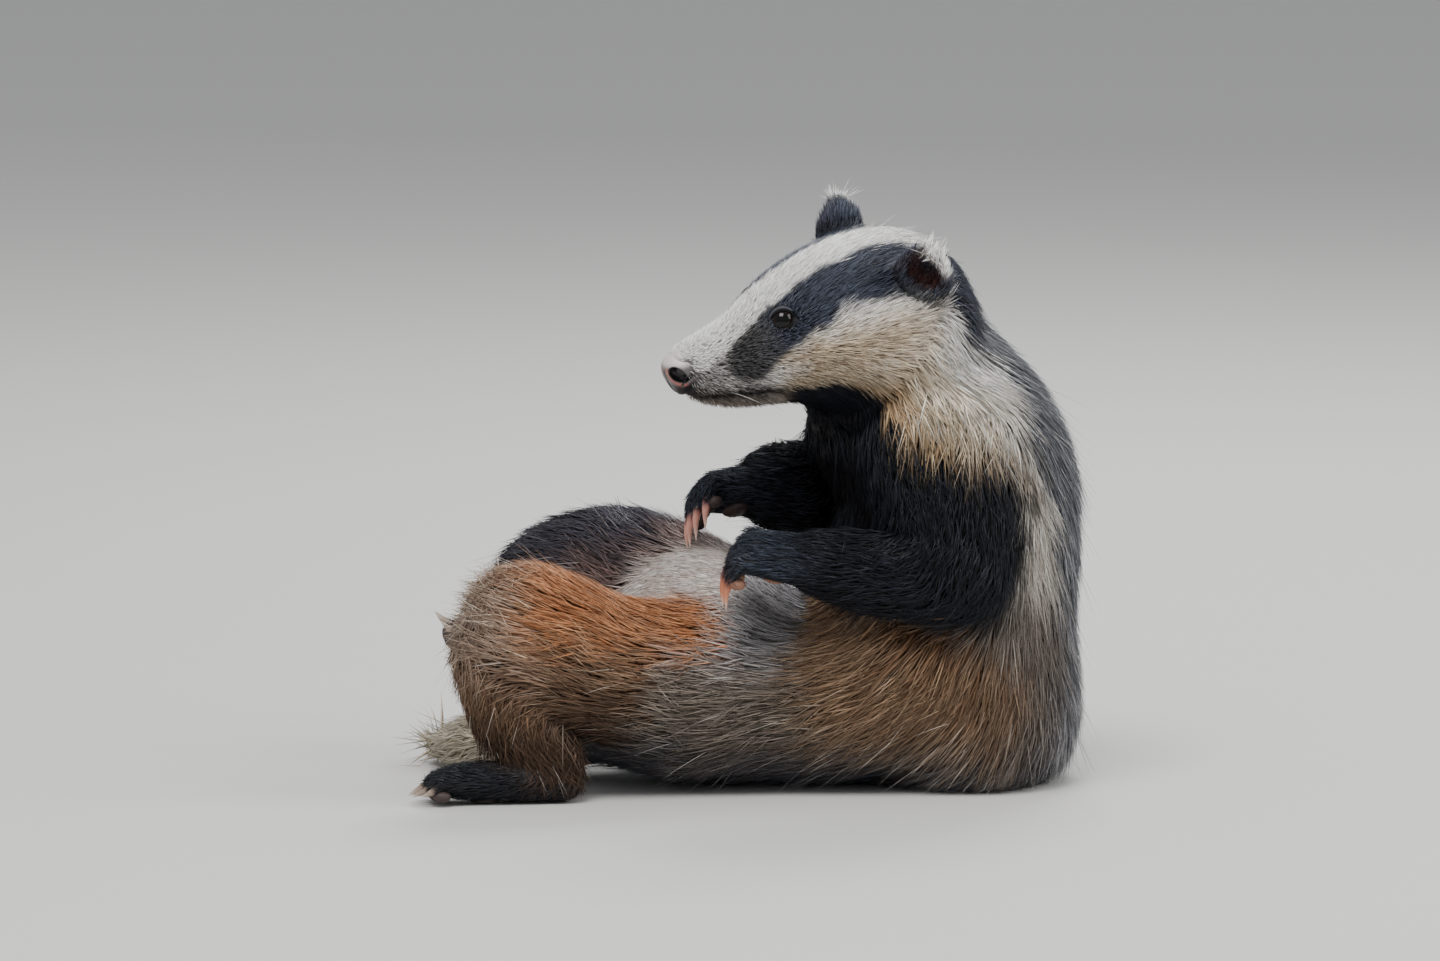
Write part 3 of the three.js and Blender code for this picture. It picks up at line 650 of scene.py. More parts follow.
def trunk_lie(p):
    """Down the neck and chest, and round the waist to the rump."""
    down = vec(0, 0, -1)
    high = np.clip((p[:, 2] - WAIST_TURN[2]) / 50, 0, 1)[:, None]
    upper = down + (vec(0.6, 0.1, -0.8) - down) * high
    round_waist = np.stack([p[:, 2] - WAIST_TURN[2], np.zeros(len(p)), WAIST_TURN[0] - p[:, 0]], axis=1)
    lower = np.where((p[:, 0] < WAIST_TURN[0])[:, None], vec(-1, 0, -0.15), unit(round_waist))
    return np.where((p[:, 2] > WAIST_TURN[2])[:, None], unit(upper), lower)


def described(points):
    """For each point: the share that each group has in it, the way its hair lies, and the places
    along and round each limb."""
    far, angle, full, heading = along_body(points)
    body = np.minimum(limb(trunk_links, points), limb(head_links, points))
    for centre, radii in (LOIN, PAUNCH, BRISKET):
        body = np.minimum(body, ball(centre, radii, points))
    on_trunk = ramp(far, 105, 150)[:, None]
    values, parts, turns = [body], [far / LINE_AT[-1]], [full]
    headings = [unit(heading * (1 - on_trunk) + (0.4 * heading + trunk_lie(points)) * on_trunk)]
    for _, links, _, _ in limbs:
        run, part, turn = limb_heading(links, points)
        values.append(limb(links, points))
        headings.append(run)
        parts.append(part)
        turns.append(turn)
    for ear in ears.values():
        d = points - ear["base"]
        values.append(ear_field(ear, points, COAT["ear"]) - 0.8)
        headings.append(np.tile(ear["tall"], (len(points), 1)))
        parts.append(np.clip(d @ ear["tall"] / 17, 0, 1))
        turns.append(np.degrees(np.arctan2(d @ ear["side"], d @ ear["front"])))
    values = np.array(values)
    over = values - values.min(axis=0)
    soft, sharp = np.exp(-over / 3.5), np.exp(-over / 1.4)
    soft, sharp = soft / soft.sum(axis=0), sharp / sharp.sum(axis=0)
    lie = np.einsum("gn,gnk->nk", soft, np.array(headings))
    return dict(group=values.argmin(axis=0), share=sharp, lie=lie, s=far, angle=angle,
                parts=np.array(parts), turns=np.array(turns))


# Markings: the colours of a hair at its root, its middle and its tip. The bluish tips of the black and paw
# hair are painted sheen
def hair_tones(*colours):
    return np.array([linear(*c) for c in colours])


WHITE_HAIR = hair_tones((176, 168, 158), (232, 228, 222), (252, 250, 247))
CREAM_HAIR = hair_tones((126, 106, 80), (200, 180, 150), (242, 234, 218))
TAN_HAIR = hair_tones((72, 52, 34), (150, 120, 84), (222, 204, 174))
OCHRE_HAIR = hair_tones((74, 52, 32), (146, 110, 68), (198, 166, 122))
# The black hair's bluish tip is a painted sheen
BLACK_SHEEN_HAIR = hair_tones((5, 5, 7), (12, 13, 17), (46, 50, 62))
STRIPE_HAIR = hair_tones((14, 15, 20), (26, 29, 38), (88, 94, 112))
MUZZLE_HAIR = hair_tones((40, 37, 38), (96, 91, 90), (196, 190, 186))
PATCH_HAIR = hair_tones((12, 11, 12), (20, 19, 21), (66, 64, 67))
GRIZZLE_HAIR = hair_tones((48, 47, 50), (34, 36, 44), (204, 206, 212))
DARK_GRIZZLE_HAIR = hair_tones((26, 26, 30), (20, 21, 28), (116, 121, 134))
PALE_GRIZZLE_HAIR = hair_tones((66, 63, 64), (86, 86, 92), (226, 226, 229))
FLANK_HAIR = hair_tones((56, 38, 26), (110, 79, 55), (196, 168, 138))
SIDE_HAIR = hair_tones((30, 27, 27), (72, 63, 58), (176, 162, 150))
LAP_HAIR = hair_tones((60, 60, 63), (104, 102, 105), (222, 219, 219))
LOW_LAP_HAIR = hair_tones((32, 26, 22), (76, 64, 54), (182, 168, 154))
ORANGE_HAIR = hair_tones((108, 60, 34), (168, 104, 62), (214, 162, 120))
PAUNCH_HAIR = hair_tones((218, 188, 174), (234, 214, 203), (248, 240, 235))
THIGH_HAIR = hair_tones((46, 29, 19), (92, 64, 44), (176, 146, 118))
KNEE_HAIR = hair_tones((78, 56, 42), (142, 114, 94), (226, 208, 190))
INNER_THIGH_HAIR = hair_tones((78, 54, 50), (108, 84, 78), (146, 124, 118))
FAR_THIGH_HAIR = hair_tones((20, 17, 22), (42, 38, 47), (92, 88, 100))
TAIL_HAIR = hair_tones((116, 100, 80), (178, 164, 140), (228, 220, 204))
# The paw hair's bluish tip is a painted sheen
PAW_SHEEN_HAIR = hair_tones((8, 9, 12), (24, 28, 36), (78, 86, 102))
FOOT_HAIR = hair_tones((9, 9, 11), (22, 22, 26), (60, 62, 70))
SHIN_HAIR = hair_tones((28, 19, 14), (58, 41, 30), (124, 100, 82))
EAR_CUP_HAIR = hair_tones((92, 38, 26), (70, 34, 28), (60, 50, 50))
LIP_HAIR = hair_tones((24, 20, 22), (30, 26, 28), (60, 54, 54))

# Angles of the edges between the markings, at places along the middle line
CROWN_EDGE = [
    (0, 10), (16, 26), (20, 34), (24, 40), (32, 52), (42, 62), (52, 67), (61, 70), (72, 73),
    (95, 72), (108, 66),
]
STRIPE_EDGE = [
    (18, 22), (23, 4), (28, -16), (38, -20), (42, 2), (47, 16), (57, 22), (70, 28), (81, 27),
    (98, 26), (112, 34),
]
THROAT_EDGE = [
    (38, -66), (46, -34), (56, -23), (68, -23), (80, -34), (127, -31), (140, -20), (156, -9),
    (179, -3), (191, 8), (215, 6), (240, -30), (260, -60),
]
NAPE_EDGE = [
    (98, 26), (104, 24), (121, 44), (135, 26), (147, 25), (158, 17), (174, 24), (198, 29),
    (215, 29), (240, 24),
]


def edge(table, s):
    """The table's value at places along the middle line."""
    return np.interp(s, [t[0] for t in table], [t[1] for t in table])


def noise(points, size, seed):
    """Smooth noise of about -1 to 1, from a few crossed waves with seeded directions."""
    waves = np.random.default_rng(seed)
    total = np.zeros(len(points))
    for _ in range(6):
        direction = unit(waves.normal(size=3)) * waves.uniform(0.7, 1.5) * 2 * math.pi / size
        total += np.sin(points @ direction + waves.uniform(0, 6.3))
    return total / 3.2


def put(base, tones, share):
    """The base tones with a share of other tones over them."""
    return base + (tones - base) * np.asarray(share)[..., None, None]


def head_tones(p, s, angle):
    """The face, cheeks, neck and nape."""
    crown, stripe = edge(CROWN_EDGE, s), edge(STRIPE_EDGE, s)
    crown = crown - 7 * ramp(-to_head(p)[1], 0, 8)
    throat, nape = edge(THROAT_EDGE, s), edge(NAPE_EDGE, s)
    streak = noise(p, 7, 31)
    above = angle - throat
    low_cheek = fall(above + 5 * streak, 12, 36) * ramp(s, 36, 50)
    tones = put(WHITE_HAIR, TAN_HAIR, 0.9 * low_cheek * (1 - 0.6 * ramp(s, 150, 190)))
    cheek = fall(above, 30, 55) * ramp(s, 40, 60) * fall(s, 130, 165)
    tones = put(tones, CREAM_HAIR, 0.55 * cheek)
    under_eye = bump(angle, 6, 15) * ramp(s, 32, 46) * fall(s, 84, 112)
    tones = put(tones, TAN_HAIR, 0.75 * under_eye)
    fringe = fall(above, 2, 14) * ramp(s, 56, 80) * fall(s, 150, 180)
    tones = put(tones, OCHRE_HAIR, 0.7 * fringe)
    muzzle = fall(s, 34, 44) * fall(angle - crown, -9, 3) * ramp(s, 4, 8)
    tones = put(tones, MUZZLE_HAIR, 0.85 * muzzle)
    tones = put(tones, LOW_LAP_HAIR, 0.75 * fall(s, 40, 52) * ramp(-angle + 4 * streak, 22, 40))
    in_stripe = ramp(angle, stripe - 4, stripe + 4) * fall(angle, crown - 3, crown + 3)
    in_stripe = in_stripe * ramp(s, 19, 27)
    front = fall(s, 34, 50)
    in_stripe = in_stripe * (1 - 0.1 * front) * fall(s, 112, 124)
    tones = put(tones, put(STRIPE_HAIR, PATCH_HAIR, front), in_stripe)
    tones = put(tones, BLACK_SHEEN_HAIR, fall(angle, throat - 3, throat + 4) * ramp(s, 40, 50))
    grizzle = ramp(angle + 3 * streak, nape - 5, nape + 5) * ramp(s, 104, 114)
    pale = ramp(noise(p, 10, 8) + 0.9 * ramp(s, 215, 260) * ramp(angle, 46, 66), 0.1, 1)
    back = put(DARK_GRIZZLE_HAIR, GRIZZLE_HAIR, ramp(noise(p, 8, 9), -0.7, 0.5))
    back = put(back, PALE_GRIZZLE_HAIR, pale)
    return put(tones, back, grizzle)


def body_tones(p, s, angle):
    """The head and the trunk, with its flanks, lap and paunch, and painted shade on the coat nearest the
    floor.
    """
    tones = head_tones(p, s, angle)
    streak = noise(p, 8, 8)
    side = ramp(s, 196, 214) * fall(angle, 24, 40) * ramp(angle, -16, -4)
    tones = put(tones, SIDE_HAIR, 0.9 * side)
    flank = put(FLANK_HAIR, LOW_LAP_HAIR, ramp(s, 284, 306))
    lap = ramp(-angle, 10, 26) * ramp(s, 286, 304)
    flank = put(flank, LAP_HAIR, lap)
    bright = bump(p[:, 0], -36, 14) * bump(p[:, 2], 74, 14)
    flank = put(flank, WHITE_HAIR, 0.75 * lap * np.clip(bright * (1 + 0.5 * streak), 0, 1))
    groin = ramp(s, 334, 348) * ramp(-angle, 14, 26) * fall(-angle, 46, 58)
    flank = put(flank, ORANGE_HAIR, groin)
    below = ramp(-angle, 46, 58) * ramp(s, 296, 316)
    flank = put(flank, INNER_THIGH_HAIR, below * ramp(p[:, 1], 0, 24))
    paunch = below * fall(np.abs(p[:, 0] + 46), 20, 32) * fall(p[:, 1], 8, 30)
    flank = put(flank, PAUNCH_HAIR, paunch)
    flank = put(flank, LOW_LAP_HAIR, 0.8 * fall(p[:, 2] + 6 * streak, 18, 46))
    tones = put(tones, flank, ramp(s, 224, 240) * fall(angle, 26, 44))
    tones = put(tones, SIDE_HAIR, 0.85 * bump(angle, 38, 13) * ramp(s, 200, 222))
    # Painted shade: the coat within a few centimetres of the floor is darkened
    floor_shade = fall(p[:, 2] + 6 * streak, 8, 32)
    return put(tones, DARK_GRIZZLE_HAIR, 0.85 * floor_shade * ramp(s, 200, 220))


def ear_tones(ear, p):
    """Dark shells with white rims and reddish cups."""
    d = p - ear["base"]
    out, high, front = d @ ear["side"] * ear["hand"], d @ ear["tall"], d @ ear["front"]
    tones = put(STRIPE_HAIR, BLACK_SHEEN_HAIR, fall(high, -4, 6))
    cup = bump(out, 0, 7.5) * bump(high, 6.5, 8) * ramp(front, -2.5, 0.5) * fall(front, 4.5, 6.5)
    tones = put(tones, EAR_CUP_HAIR, np.clip(1.4 * cup, 0, 1))
    return put(tones, WHITE_HAIR, ramp(high + 0.4 * out, 9.5, 12.5))


def near_thigh_tones(p, part, body, streak):
    tones = put(SHIN_HAIR, THIGH_HAIR, ramp(p[:, 2] + 6 * streak, 26, 56))
    knee = ramp(-p[:, 0] + 8 * streak, 84, 112) * ramp(p[:, 2], 36, 66)
    tones = put(tones, KNEE_HAIR, 0.9 * knee)
    glow = ramp(p[:, 2] + 5 * streak, 50, 74) * ramp(p[:, 0], -116, -92)
    tones = put(tones, ORANGE_HAIR, 0.95 * glow)
    return put(body, tones, ramp(part, 0.1, 0.28))


def limb_tones(name, p, part, body):
    """The legs, paws, tail and ears. The root of each limb fades into the body's markings."""
    streak = noise(p, 8, 8)
    kind = name.split("_")[-1]
    if name.startswith("fore"):
        if kind == "upper":
            return put(body, BLACK_SHEEN_HAIR, ramp(part, 0.02, 0.3))
        return BLACK_SHEEN_HAIR if kind == "lower" else PAW_SHEEN_HAIR
    if name == "tail":
        return put(body, TAIL_HAIR, ramp(part, 0.05, 0.3))
    if name.startswith("ear"):
        return ear_tones(ears[kind], p)
    if kind in ("palm", "toes") or name == "hind_right_lower":
        return FOOT_HAIR
    if name == "hind_left_lower":
        return put(SHIN_HAIR, THIGH_HAIR, ramp(p[:, 2] + 6 * streak, 30, 55))
    if name == "hind_left_upper":
        return near_thigh_tones(p, part, body, streak)
    outer = ramp(p[:, 2] + 0.5 * p[:, 1] + 8 * streak, 88, 112)
    tones = put(INNER_THIGH_HAIR, FAR_THIGH_HAIR, outer)
    return put(body, tones, ramp(part, 0.1, 0.3))


LEAST_SHARE = 0.004


def markings_and_painted_light(p, info):
    """The colours of the hair at each point: its root, its middle and its tip, with painted sheen on the
    bluish black tips and painted shade near the floor.
    """
    s = info["s"] + 2.5 * noise(p, 26, 3)
    angle = info["angle"] + 2.5 * noise(p, 13, 4) + 2 * noise(p, 5, 5)
    body = body_tones(p, s, angle)
    shares = np.where(info["share"] > LEAST_SHARE, info["share"], 0)
    shares[0] = info["share"][0]
    tones = body * shares[0][:, None, None]
    for g, name in enumerate(GROUPS[1:], start=1):
        near = shares[g] > 0
        if near.any():
            own = limb_tones(name, p[near], info["parts"][g][near], body[near])
            tones[near] += own * shares[g][near][:, None, None]
    tones /= sum(shares)[:, None, None]
    lips = bump(tube_distance(MOUTH, p), 0, 2.1)
    return put(tones, LIP_HAIR, np.clip(1.3 * lips, 0, 1))


# Making meshes
def new_mesh(name, points, faces, colours=None, uvs=None):
    """A smooth mesh of triangles or quads, in metres, with a colour for each point and a UV for
    each corner."""
    mesh = bpy.data.meshes.new(name)
    sides = faces.shape[1]
    mesh.vertices.add(len(points))
    mesh.vertices.foreach_set("co", (points * MM).astype(np.float32).ravel())
    mesh.loops.add(faces.size)
    mesh.loops.foreach_set("vertex_index", faces.astype(np.int32).ravel())
    mesh.polygons.add(len(faces))
    mesh.polygons.foreach_set("loop_start", np.arange(0, faces.size, sides, dtype=np.int32))
    mesh.update(calc_edges=True)
    mesh.polygons.foreach_set("use_smooth", np.ones(len(faces), dtype=bool))
    if colours is not None:
        layer = mesh.color_attributes.new("coat_colour", "FLOAT_COLOR", "POINT")
        rgba = np.concatenate([colours, np.ones((len(colours), 1))], axis=1)
        layer.data.foreach_set("color", rgba.astype(np.float32).ravel())
    if uvs is not None:
        layer = mesh.uv_layers.new(name="OFBake")
        layer.data.foreach_set("uv", uvs.astype(np.float32).ravel())
    mesh.validate()
    piece = bpy.data.objects.new(name, mesh)
    bpy.context.scene.collection.objects.link(piece)
    return piece


def uv_place(group, part, turn):
    """The place on the unwrap: each limb has its own rectangle, along it and round it."""
    column = (group - 1) % 2
    row = (group - 1) // 2
    rows = math.ceil((len(GROUPS) - 1) / 2)
    round_limb = (turn + 180) / 360
    u = np.where(group == 0, 0.03 + 0.55 * round_limb, 0.63 + 0.19 * column + 0.15 * round_limb)
    v = np.where(group == 0, 0.02 + 0.96 * part, (row + 0.1 + 0.8 * part) / rows)
    return np.stack([u, v], axis=-1)


# Materials
def material(name, roughness, **settings):
    made = bpy.data.materials.new(name)
    made.use_nodes = True
    shader = made.node_tree.nodes["Principled BSDF"]
    shader.inputs["Roughness"].default_value = roughness
    for key, value in settings.items():
        shader.inputs[key.replace("_", " ")].default_value = value
    return made, made.node_tree.nodes, made.node_tree.links, shader


def add(nodes, kind, **inputs):
    node = nodes.new("ShaderNode" + kind)
    for key, value in inputs.items():
        node.inputs[key.replace("_", " ")].default_value = value
    return node


def marked(name, roughness, grain_size, contrast, relief=0, **settings):
    """A material with the markings, fine streaks of light and dark, and some relief."""
    made, nodes, links, shader = material(name, roughness, **settings)
    colour = nodes.new("ShaderNodeVertexColor")
    colour.layer_name = "coat_colour"
    place = nodes.new("ShaderNodeTexCoord")
    grain = add(nodes, "TexNoise", Scale=grain_size, Detail=3)
    spread = add(nodes, "MapRange", To_Min=1 - contrast, To_Max=1 + contrast)
    mix = nodes.new("ShaderNodeMix")
    mix.data_type = "RGBA"
    mix.blend_type = "MULTIPLY"
    mix.inputs["Factor"].default_value = 1
    links.new(place.outputs["Object"], grain.inputs["Vector"])
    links.new(grain.outputs["Fac"], spread.inputs["Value"])
    links.new(colour.outputs["Color"], mix.inputs["A"])
    links.new(spread.outputs["Result"], mix.inputs["B"])
    links.new(mix.outputs["Result"], shader.inputs["Base Color"])
    if relief:
        raised = add(nodes, "Bump", Strength=0.6, Distance=relief)
        links.new(grain.outputs["Fac"], raised.inputs["Height"])
        links.new(raised.outputs["Normal"], shader.inputs["Normal"])
    return made


hair_look = marked("badger_hair", 0.5, 900, 0.25, Specular_IOR_Level=0.3)
skin_look = marked("badger_skin", 0.8, 600, 0.35, relief=0.0008)
claw_look = marked("claw_horn", 0.3, 420, 0.12, relief=0.0002, Coat_Weight=0.2, Coat_Roughness=0.25)
nose_look = marked("nose_skin", 0.42, 1500, 0.3, relief=0.0004, Coat_Weight=0.25, Coat_Roughness=0.3)
pad_look = marked("pad_skin", 0.6, 900, 0.25, relief=0.0005)
lid_look = marked("lid_skin", 0.65, 1100, 0.2, relief=0.0003, Specular_IOR_Level=0.2)
eye_look = marked("wet_eye", 0.05, 700, 0.4, Specular_IOR_Level=0.3)


def finish_piece(piece, look):
    piece.data.materials.append(look)
    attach(piece, "root")
    return piece


# The skin. The grey of the bare skin beside the nose also colours what lies ahead of it and lower
BARE_SKIN, BARE_CHIN = linear(84, 79, 82), linear(26, 23, 25)
skin_info = described(skin_points)
skin_tones = markings_and_painted_light(skin_points, skin_info)
skin_colour = skin_tones[:, 0] * 0.5 + skin_tones[:, 1] * 0.45
skin_back, _, skin_up = to_head(skin_points)
beside_nose = fall(skin_back, 10, 16) * fall(skin_up, 4, 7)
bare_skin = tinted(BARE_SKIN, BARE_CHIN, ramp(-skin_up, 4, 9))
skin_colour = tinted(skin_colour, bare_skin, beside_nose)


def skin_uvs():
    group = skin_info["group"][skin_quads[:, 0]][:, None].repeat(4, axis=1)
    part = skin_info["parts"][group, skin_quads]
    turn = skin_info["turns"][group, skin_quads]
    # Corners beyond the seam behind a limb are brought next to the first one
    turn = turn[:, :1] + (turn - turn[:, :1] + 180) % 360 - 180
    return uv_place(group, part, turn).reshape(-1, 2)


OWN_PIECES = ("fore_claw", "hind_claw", "eye", "nose")
skin = new_mesh("skin", skin_points, skin_quads, skin_colour, skin_uvs())
finish_piece(skin, skin_look)
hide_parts(*[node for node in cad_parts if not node.startswith(OWN_PIECES)])

# The coat's plan at each point of the skin
coat_depth = np.clip(-sampled(coat_grid, skin_points), 0.5, 14)
HEAD_LENGTHS = [(0, 1.6), (16, 2.2), (30, 3.2), (45, 4.6), (75, 8.5), (100, 14), (125, 26)]
SHORT_LENGTHS = {"palm": 9.0, "toes": 5.5, "left": 6.5, "right": 6.5}
LONGEST_SHORT = 9.5


def hair_lengths():
    """Longer where the coat is deeper, with lengths of its own on the face, paws and ears."""
    s, share = skin_info["s"], skin_info["share"]
    length = np.where(s < 125, edge(HEAD_LENGTHS, s), np.minimum(6 + 2.6 * coat_depth, 30)) * share[0]
    for g, name in enumerate(GROUPS[1:], start=1):
        fixed = SHORT_LENGTHS.get(name.split("_")[-1])
        length += share[g] * (fixed if fixed else np.minimum(6 + 2.5 * coat_depth, 24))
    for ear in ears.values():
        length += 4.0 * bump(gap(skin_points - ear["base"], ear["tall"] * 15), 0, 5)
    for eye in eyes.values():
        length *= 0.35 + 0.65 * ramp(gap(skin_points, eye["surface"]), 5, 12)
    paunch = ramp(-skin_info["angle"], 48, 62) * bump(skin_points[:, 0], -48, 18) * share[0]
    return length * (1 - 0.35 * paunch)


def hair_density():
    """More hair where it is short, less on the limbs and against the floor, and none over the eyes,
    the nostrils and the lip line."""
    density = np.interp(hair_length, [2, 6, 12, 26], [2.6, 1.6, 1.0, 0.62])
    density *= 0.12 + 0.88 * ramp(skin_points[:, 2], 1, 4)
    for g, name in enumerate(GROUPS[1:], start=1):
        if name.startswith("hind") and name.split("_")[-1] not in SHORT_LENGTHS:
            density *= 1 + 0.4 * skin_info["share"][g]
    for eye in eyes.values():
        density *= ramp(gap(skin_points, eye["surface"]), 4.7, 5.7)
    at_muzzle = skin_info["share"][0] * (skin_info["s"] < 40)
    density *= 1 - 0.85 * at_muzzle * beside_nose
    density *= 1 - at_muzzle * fall(skin_back, 8.5, 10.5) * fall(skin_up, 4, 6)
    density *= 1 - 0.6 * skin_info["share"][1:-2].sum(axis=0)
    return density * ramp(tube_distance(MOUTH, skin_points), 1.1, 2.2)


hair_length = hair_lengths()
hair_thick = hair_density()
is_short = hair_length < LONGEST_SHORT
off_ears = 1 - skin_info["share"][-2:].sum(axis=0)
PLAN = dict(points=skin_points, normals=skin_normals, lie=skin_info["lie"], length=hair_length,
            tones=skin_tones, depth=coat_depth, hug=off_ears)
triangles = np.concatenate([skin_quads[:, [0, 1, 2]], skin_quads[:, [0, 2, 3]]])
corner_a, corner_b, corner_c = (skin_points[triangles[:, k]] for k in range(3))
triangle_area = np.linalg.norm(np.cross(corner_b - corner_a, corner_c - corner_a), axis=1) / 2


def roots_on_skin(count, density):
    """The plan at places spread over the skin, closer together where the density is higher."""
    share = np.cumsum(triangle_area * density[triangles].mean(axis=1))
    draws = (np.arange(count) + random.random(count)) / count * share[-1]
    pick = triangles[np.minimum(np.searchsorted(share, draws), len(triangles) - 1)]
    u, v = random.random(count), random.random(count)
    over = u + v > 1
    u[over], v[over] = 1 - u[over], 1 - v[over]
    weights = np.stack([1 - u - v, u, v], axis=1)
    plan = {key: np.einsum("nk,nk...->n...", weights, value[pick]) for key, value in PLAN.items()}
    first = pick[:, 0]
    group = skin_info["group"][first]
    plan["uv"] = uv_place(group, skin_info["parts"][group, first], skin_info["turns"][group, first])
    plan["normals"] = unit(plan["normals"])
    return plan


# Tufts: closed tapered blades with three sides, wider at the middle ring than at the root's
BLADE = [(-1, 0), (1, 0), (0, 0.6)]
STEP_WIDTHS = [0.75, 1.0]
# The tone that each ring starts from, and its share of the way to the next one
STEP_TONES = [(0, 0.3), (1, 0.35), (2, 0.1)]
# Half the width of a tuft's place on the unwrap
UV_PATCH = 0.0015
LOCK_HAIRS = 9
ROOT_SUNK = 0.5
LOWEST_HAIR = 0.7
SHADE_SPREAD = 0.26
MOST_HUG = 12


def drawn_together(tips, lengths):
    """How far each tip is drawn towards the middle of its own lock of hair."""
    count = len(tips)
    leaders = random.permutation(count)[: count // LOCK_HAIRS + 1]
    tree = KDTree(len(leaders))
    for i, k in enumerate(leaders):
        tree.insert(tips[k], i)
    tree.balance()
    nearest = leaders[np.array([tree.find(p)[1] for p in tips])]
    toward = tips[nearest] - tips
    near = np.linalg.norm(toward, axis=1) < lengths * 0.4
    return toward * (random.random(count) * near)[:, None]


def tufts(name, plan, widths, rise, pull_share):
    """One piece of coat, with a tuft at each place of the plan."""
    rings = len(STEP_WIDTHS)
    count = len(widths)
    roots, normals, depth = plan["points"], plan["normals"], plan["depth"]
    lengths = plan["length"] * (0.7 + 0.6 * random.random(count))
    swirl = np.stack([noise(roots, 24, 20 + k) for k in range(3)], axis=1)
    # Long hair lies less evenly than short hair
    loose = ramp(plan["length"], 6, 20)[:, None]
    lie = plan["lie"] + (0.12 + 0.04 * loose) * random.normal(size=(count, 3))
    lie = square_to(lie + (0.1 + 0.18 * loose) * swirl, normals)
    steps = np.linspace(0, 1, rings + 1)
    centres = []
    for t in steps:
        lift = 0.5 * math.sin(t * math.pi / 2) + 0.5 * t
        height = depth * rise * lift - ROOT_SUNK * (1 - t)
        p = roots + lie * (lengths * t)[:, None] + normals * height[:, None]
        if t > 0:
            # Follows the curve of the body, at the same height over the skin
            off = sampled(coat_grid, p) - (height - depth)
            p = p - normals * (np.clip(off, -MOST_HUG, MOST_HUG) * plan["hug"])[:, None]
        p[:, 2] = np.maximum(p[:, 2], LOWEST_HAIR)
        centres.append(p)
    pull = drawn_together(centres[-1], lengths) * pull_share
    for k, t in enumerate(steps):
        centres[k] = centres[k] + pull * t ** 2
    points, colours, corners = [], [], []
    shade = np.exp(SHADE_SPREAD * random.normal(size=count))[:, None]
    tones = plan["tones"].copy()
    # Some hairs have paler tips than others
    strength = 0.15 + 1.0 * random.random(count) ** 1.2
    tones[:, 2] = tones[:, 1] + (tones[:, 2] - tones[:, 1]) * strength[:, None]
    for k, t in enumerate(steps):
        low, share = STEP_TONES[k]
        colour = tones[:, low] + (tones[:, min(low + 1, 2)] - tones[:, low]) * share
        colour = np.clip(colour * shade, 0, 0.95)
        if k == rings:
            points.append(centres[k])
            colours.append(colour)
            corners.append((0, UV_PATCH))
            break
        along = unit(centres[k + 1] - centres[k])
        across = unit(np.cross(normals, along))
        over = np.cross(along, across)
        wide = widths * STEP_WIDTHS[k] * 0.5
        for x, y in BLADE:
            points.append(centres[k] + across * (wide * x)[:, None] + over * (wide * y)[:, None])
            colours.append(colour)
            corners.append((x * UV_PATCH * (1 - t), (2 * t - 1) * UV_PATCH))
    per = len(points)
    faces = [(0, 1, 2)]
    for k in range(rings - 1):
        for j in range(3):
            a, b = k * 3 + j, k * 3 + (j + 1) % 3
            faces += [(a, a + 3, b), (b, a + 3, b + 3)]
    last = (rings - 1) * 3
    faces = np.array(faces + [(last + j, per - 1, last + (j + 1) % 3) for j in range(3)])
    every = (faces[None] + (np.arange(count) * per)[:, None, None]).reshape(-1, 3)
    uvs = (plan["uv"][:, None] + np.array(corners)[None])[:, faces.ravel()].reshape(-1, 2)
    stack = np.stack(points, axis=1).reshape(-1, 3)
    piece = new_mesh(name, stack, every, np.stack(colours, axis=1).reshape(-1, 3), uvs)
    return finish_piece(piece, hair_look)


def hair_layer(title, density, count, pieces, thin, reach, rise, soft=0, pull=0.4):
    """A layer of hair in a few pieces: its finest width, its length as a share of the full one, the
    lowest and highest share of the coat's depth that its tips rise to, how far root and tip take
    the middle's colour, and how far the tips draw together."""
    plan = roots_on_skin(count, density)
    plan["length"] = plan["length"] * reach
    middle = plan["tones"][:, 1:2]
    plan["tones"] = plan["tones"] + (middle - plan["tones"]) * soft
    order = np.argsort(plan["points"][:, 0], kind="stable")
    for k, block in enumerate(np.array_split(order, pieces)):
        part = {key: value[block] for key, value in plan.items()}
        widths = thin + 0.014 * part["length"] * (0.8 + 0.4 * random.random(len(block)))
        height = rise[0] + (rise[1] - rise[0]) * random.random(len(block))
        tufts(f"{title}_{k + 1}", part, widths, height, pull)


hair_layer("short_coat", hair_thick * is_short, 40000, 3, 0.38, 1.0, (0.45, 1.05))
hair_layer("under_coat", hair_thick * ~is_short, 39000, 2, 1.1, 0.9, (0.35, 0.85),
           soft=0.5, pull=0.1)
hair_layer("long_coat", hair_thick * ~is_short, 59500, 3, 0.3, 1.12, (0.55, 1.05))


# Solid pieces
def tube_faces(rings, sides):
    """The faces of a tube, with both ends closed round a middle point."""
    faces = []
    for r in range(rings - 1):
        for k in range(sides):
            a, b = r * sides + k, r * sides + (k + 1) % sides
            faces += [(a, b, b + sides), (a, b + sides, a + sides)]
    first, last = rings * sides, rings * sides + 1
    for k in range(sides):
        after = (k + 1) % sides
        faces.append((first, after, k))
        faces.append((last, (rings - 1) * sides + k, (rings - 1) * sides + after))
    return np.array(faces)


def tube_points(rings):
    return np.concatenate([rings.reshape(-1, 3), rings[:1].mean(axis=1), rings[-1:].mean(axis=1)])


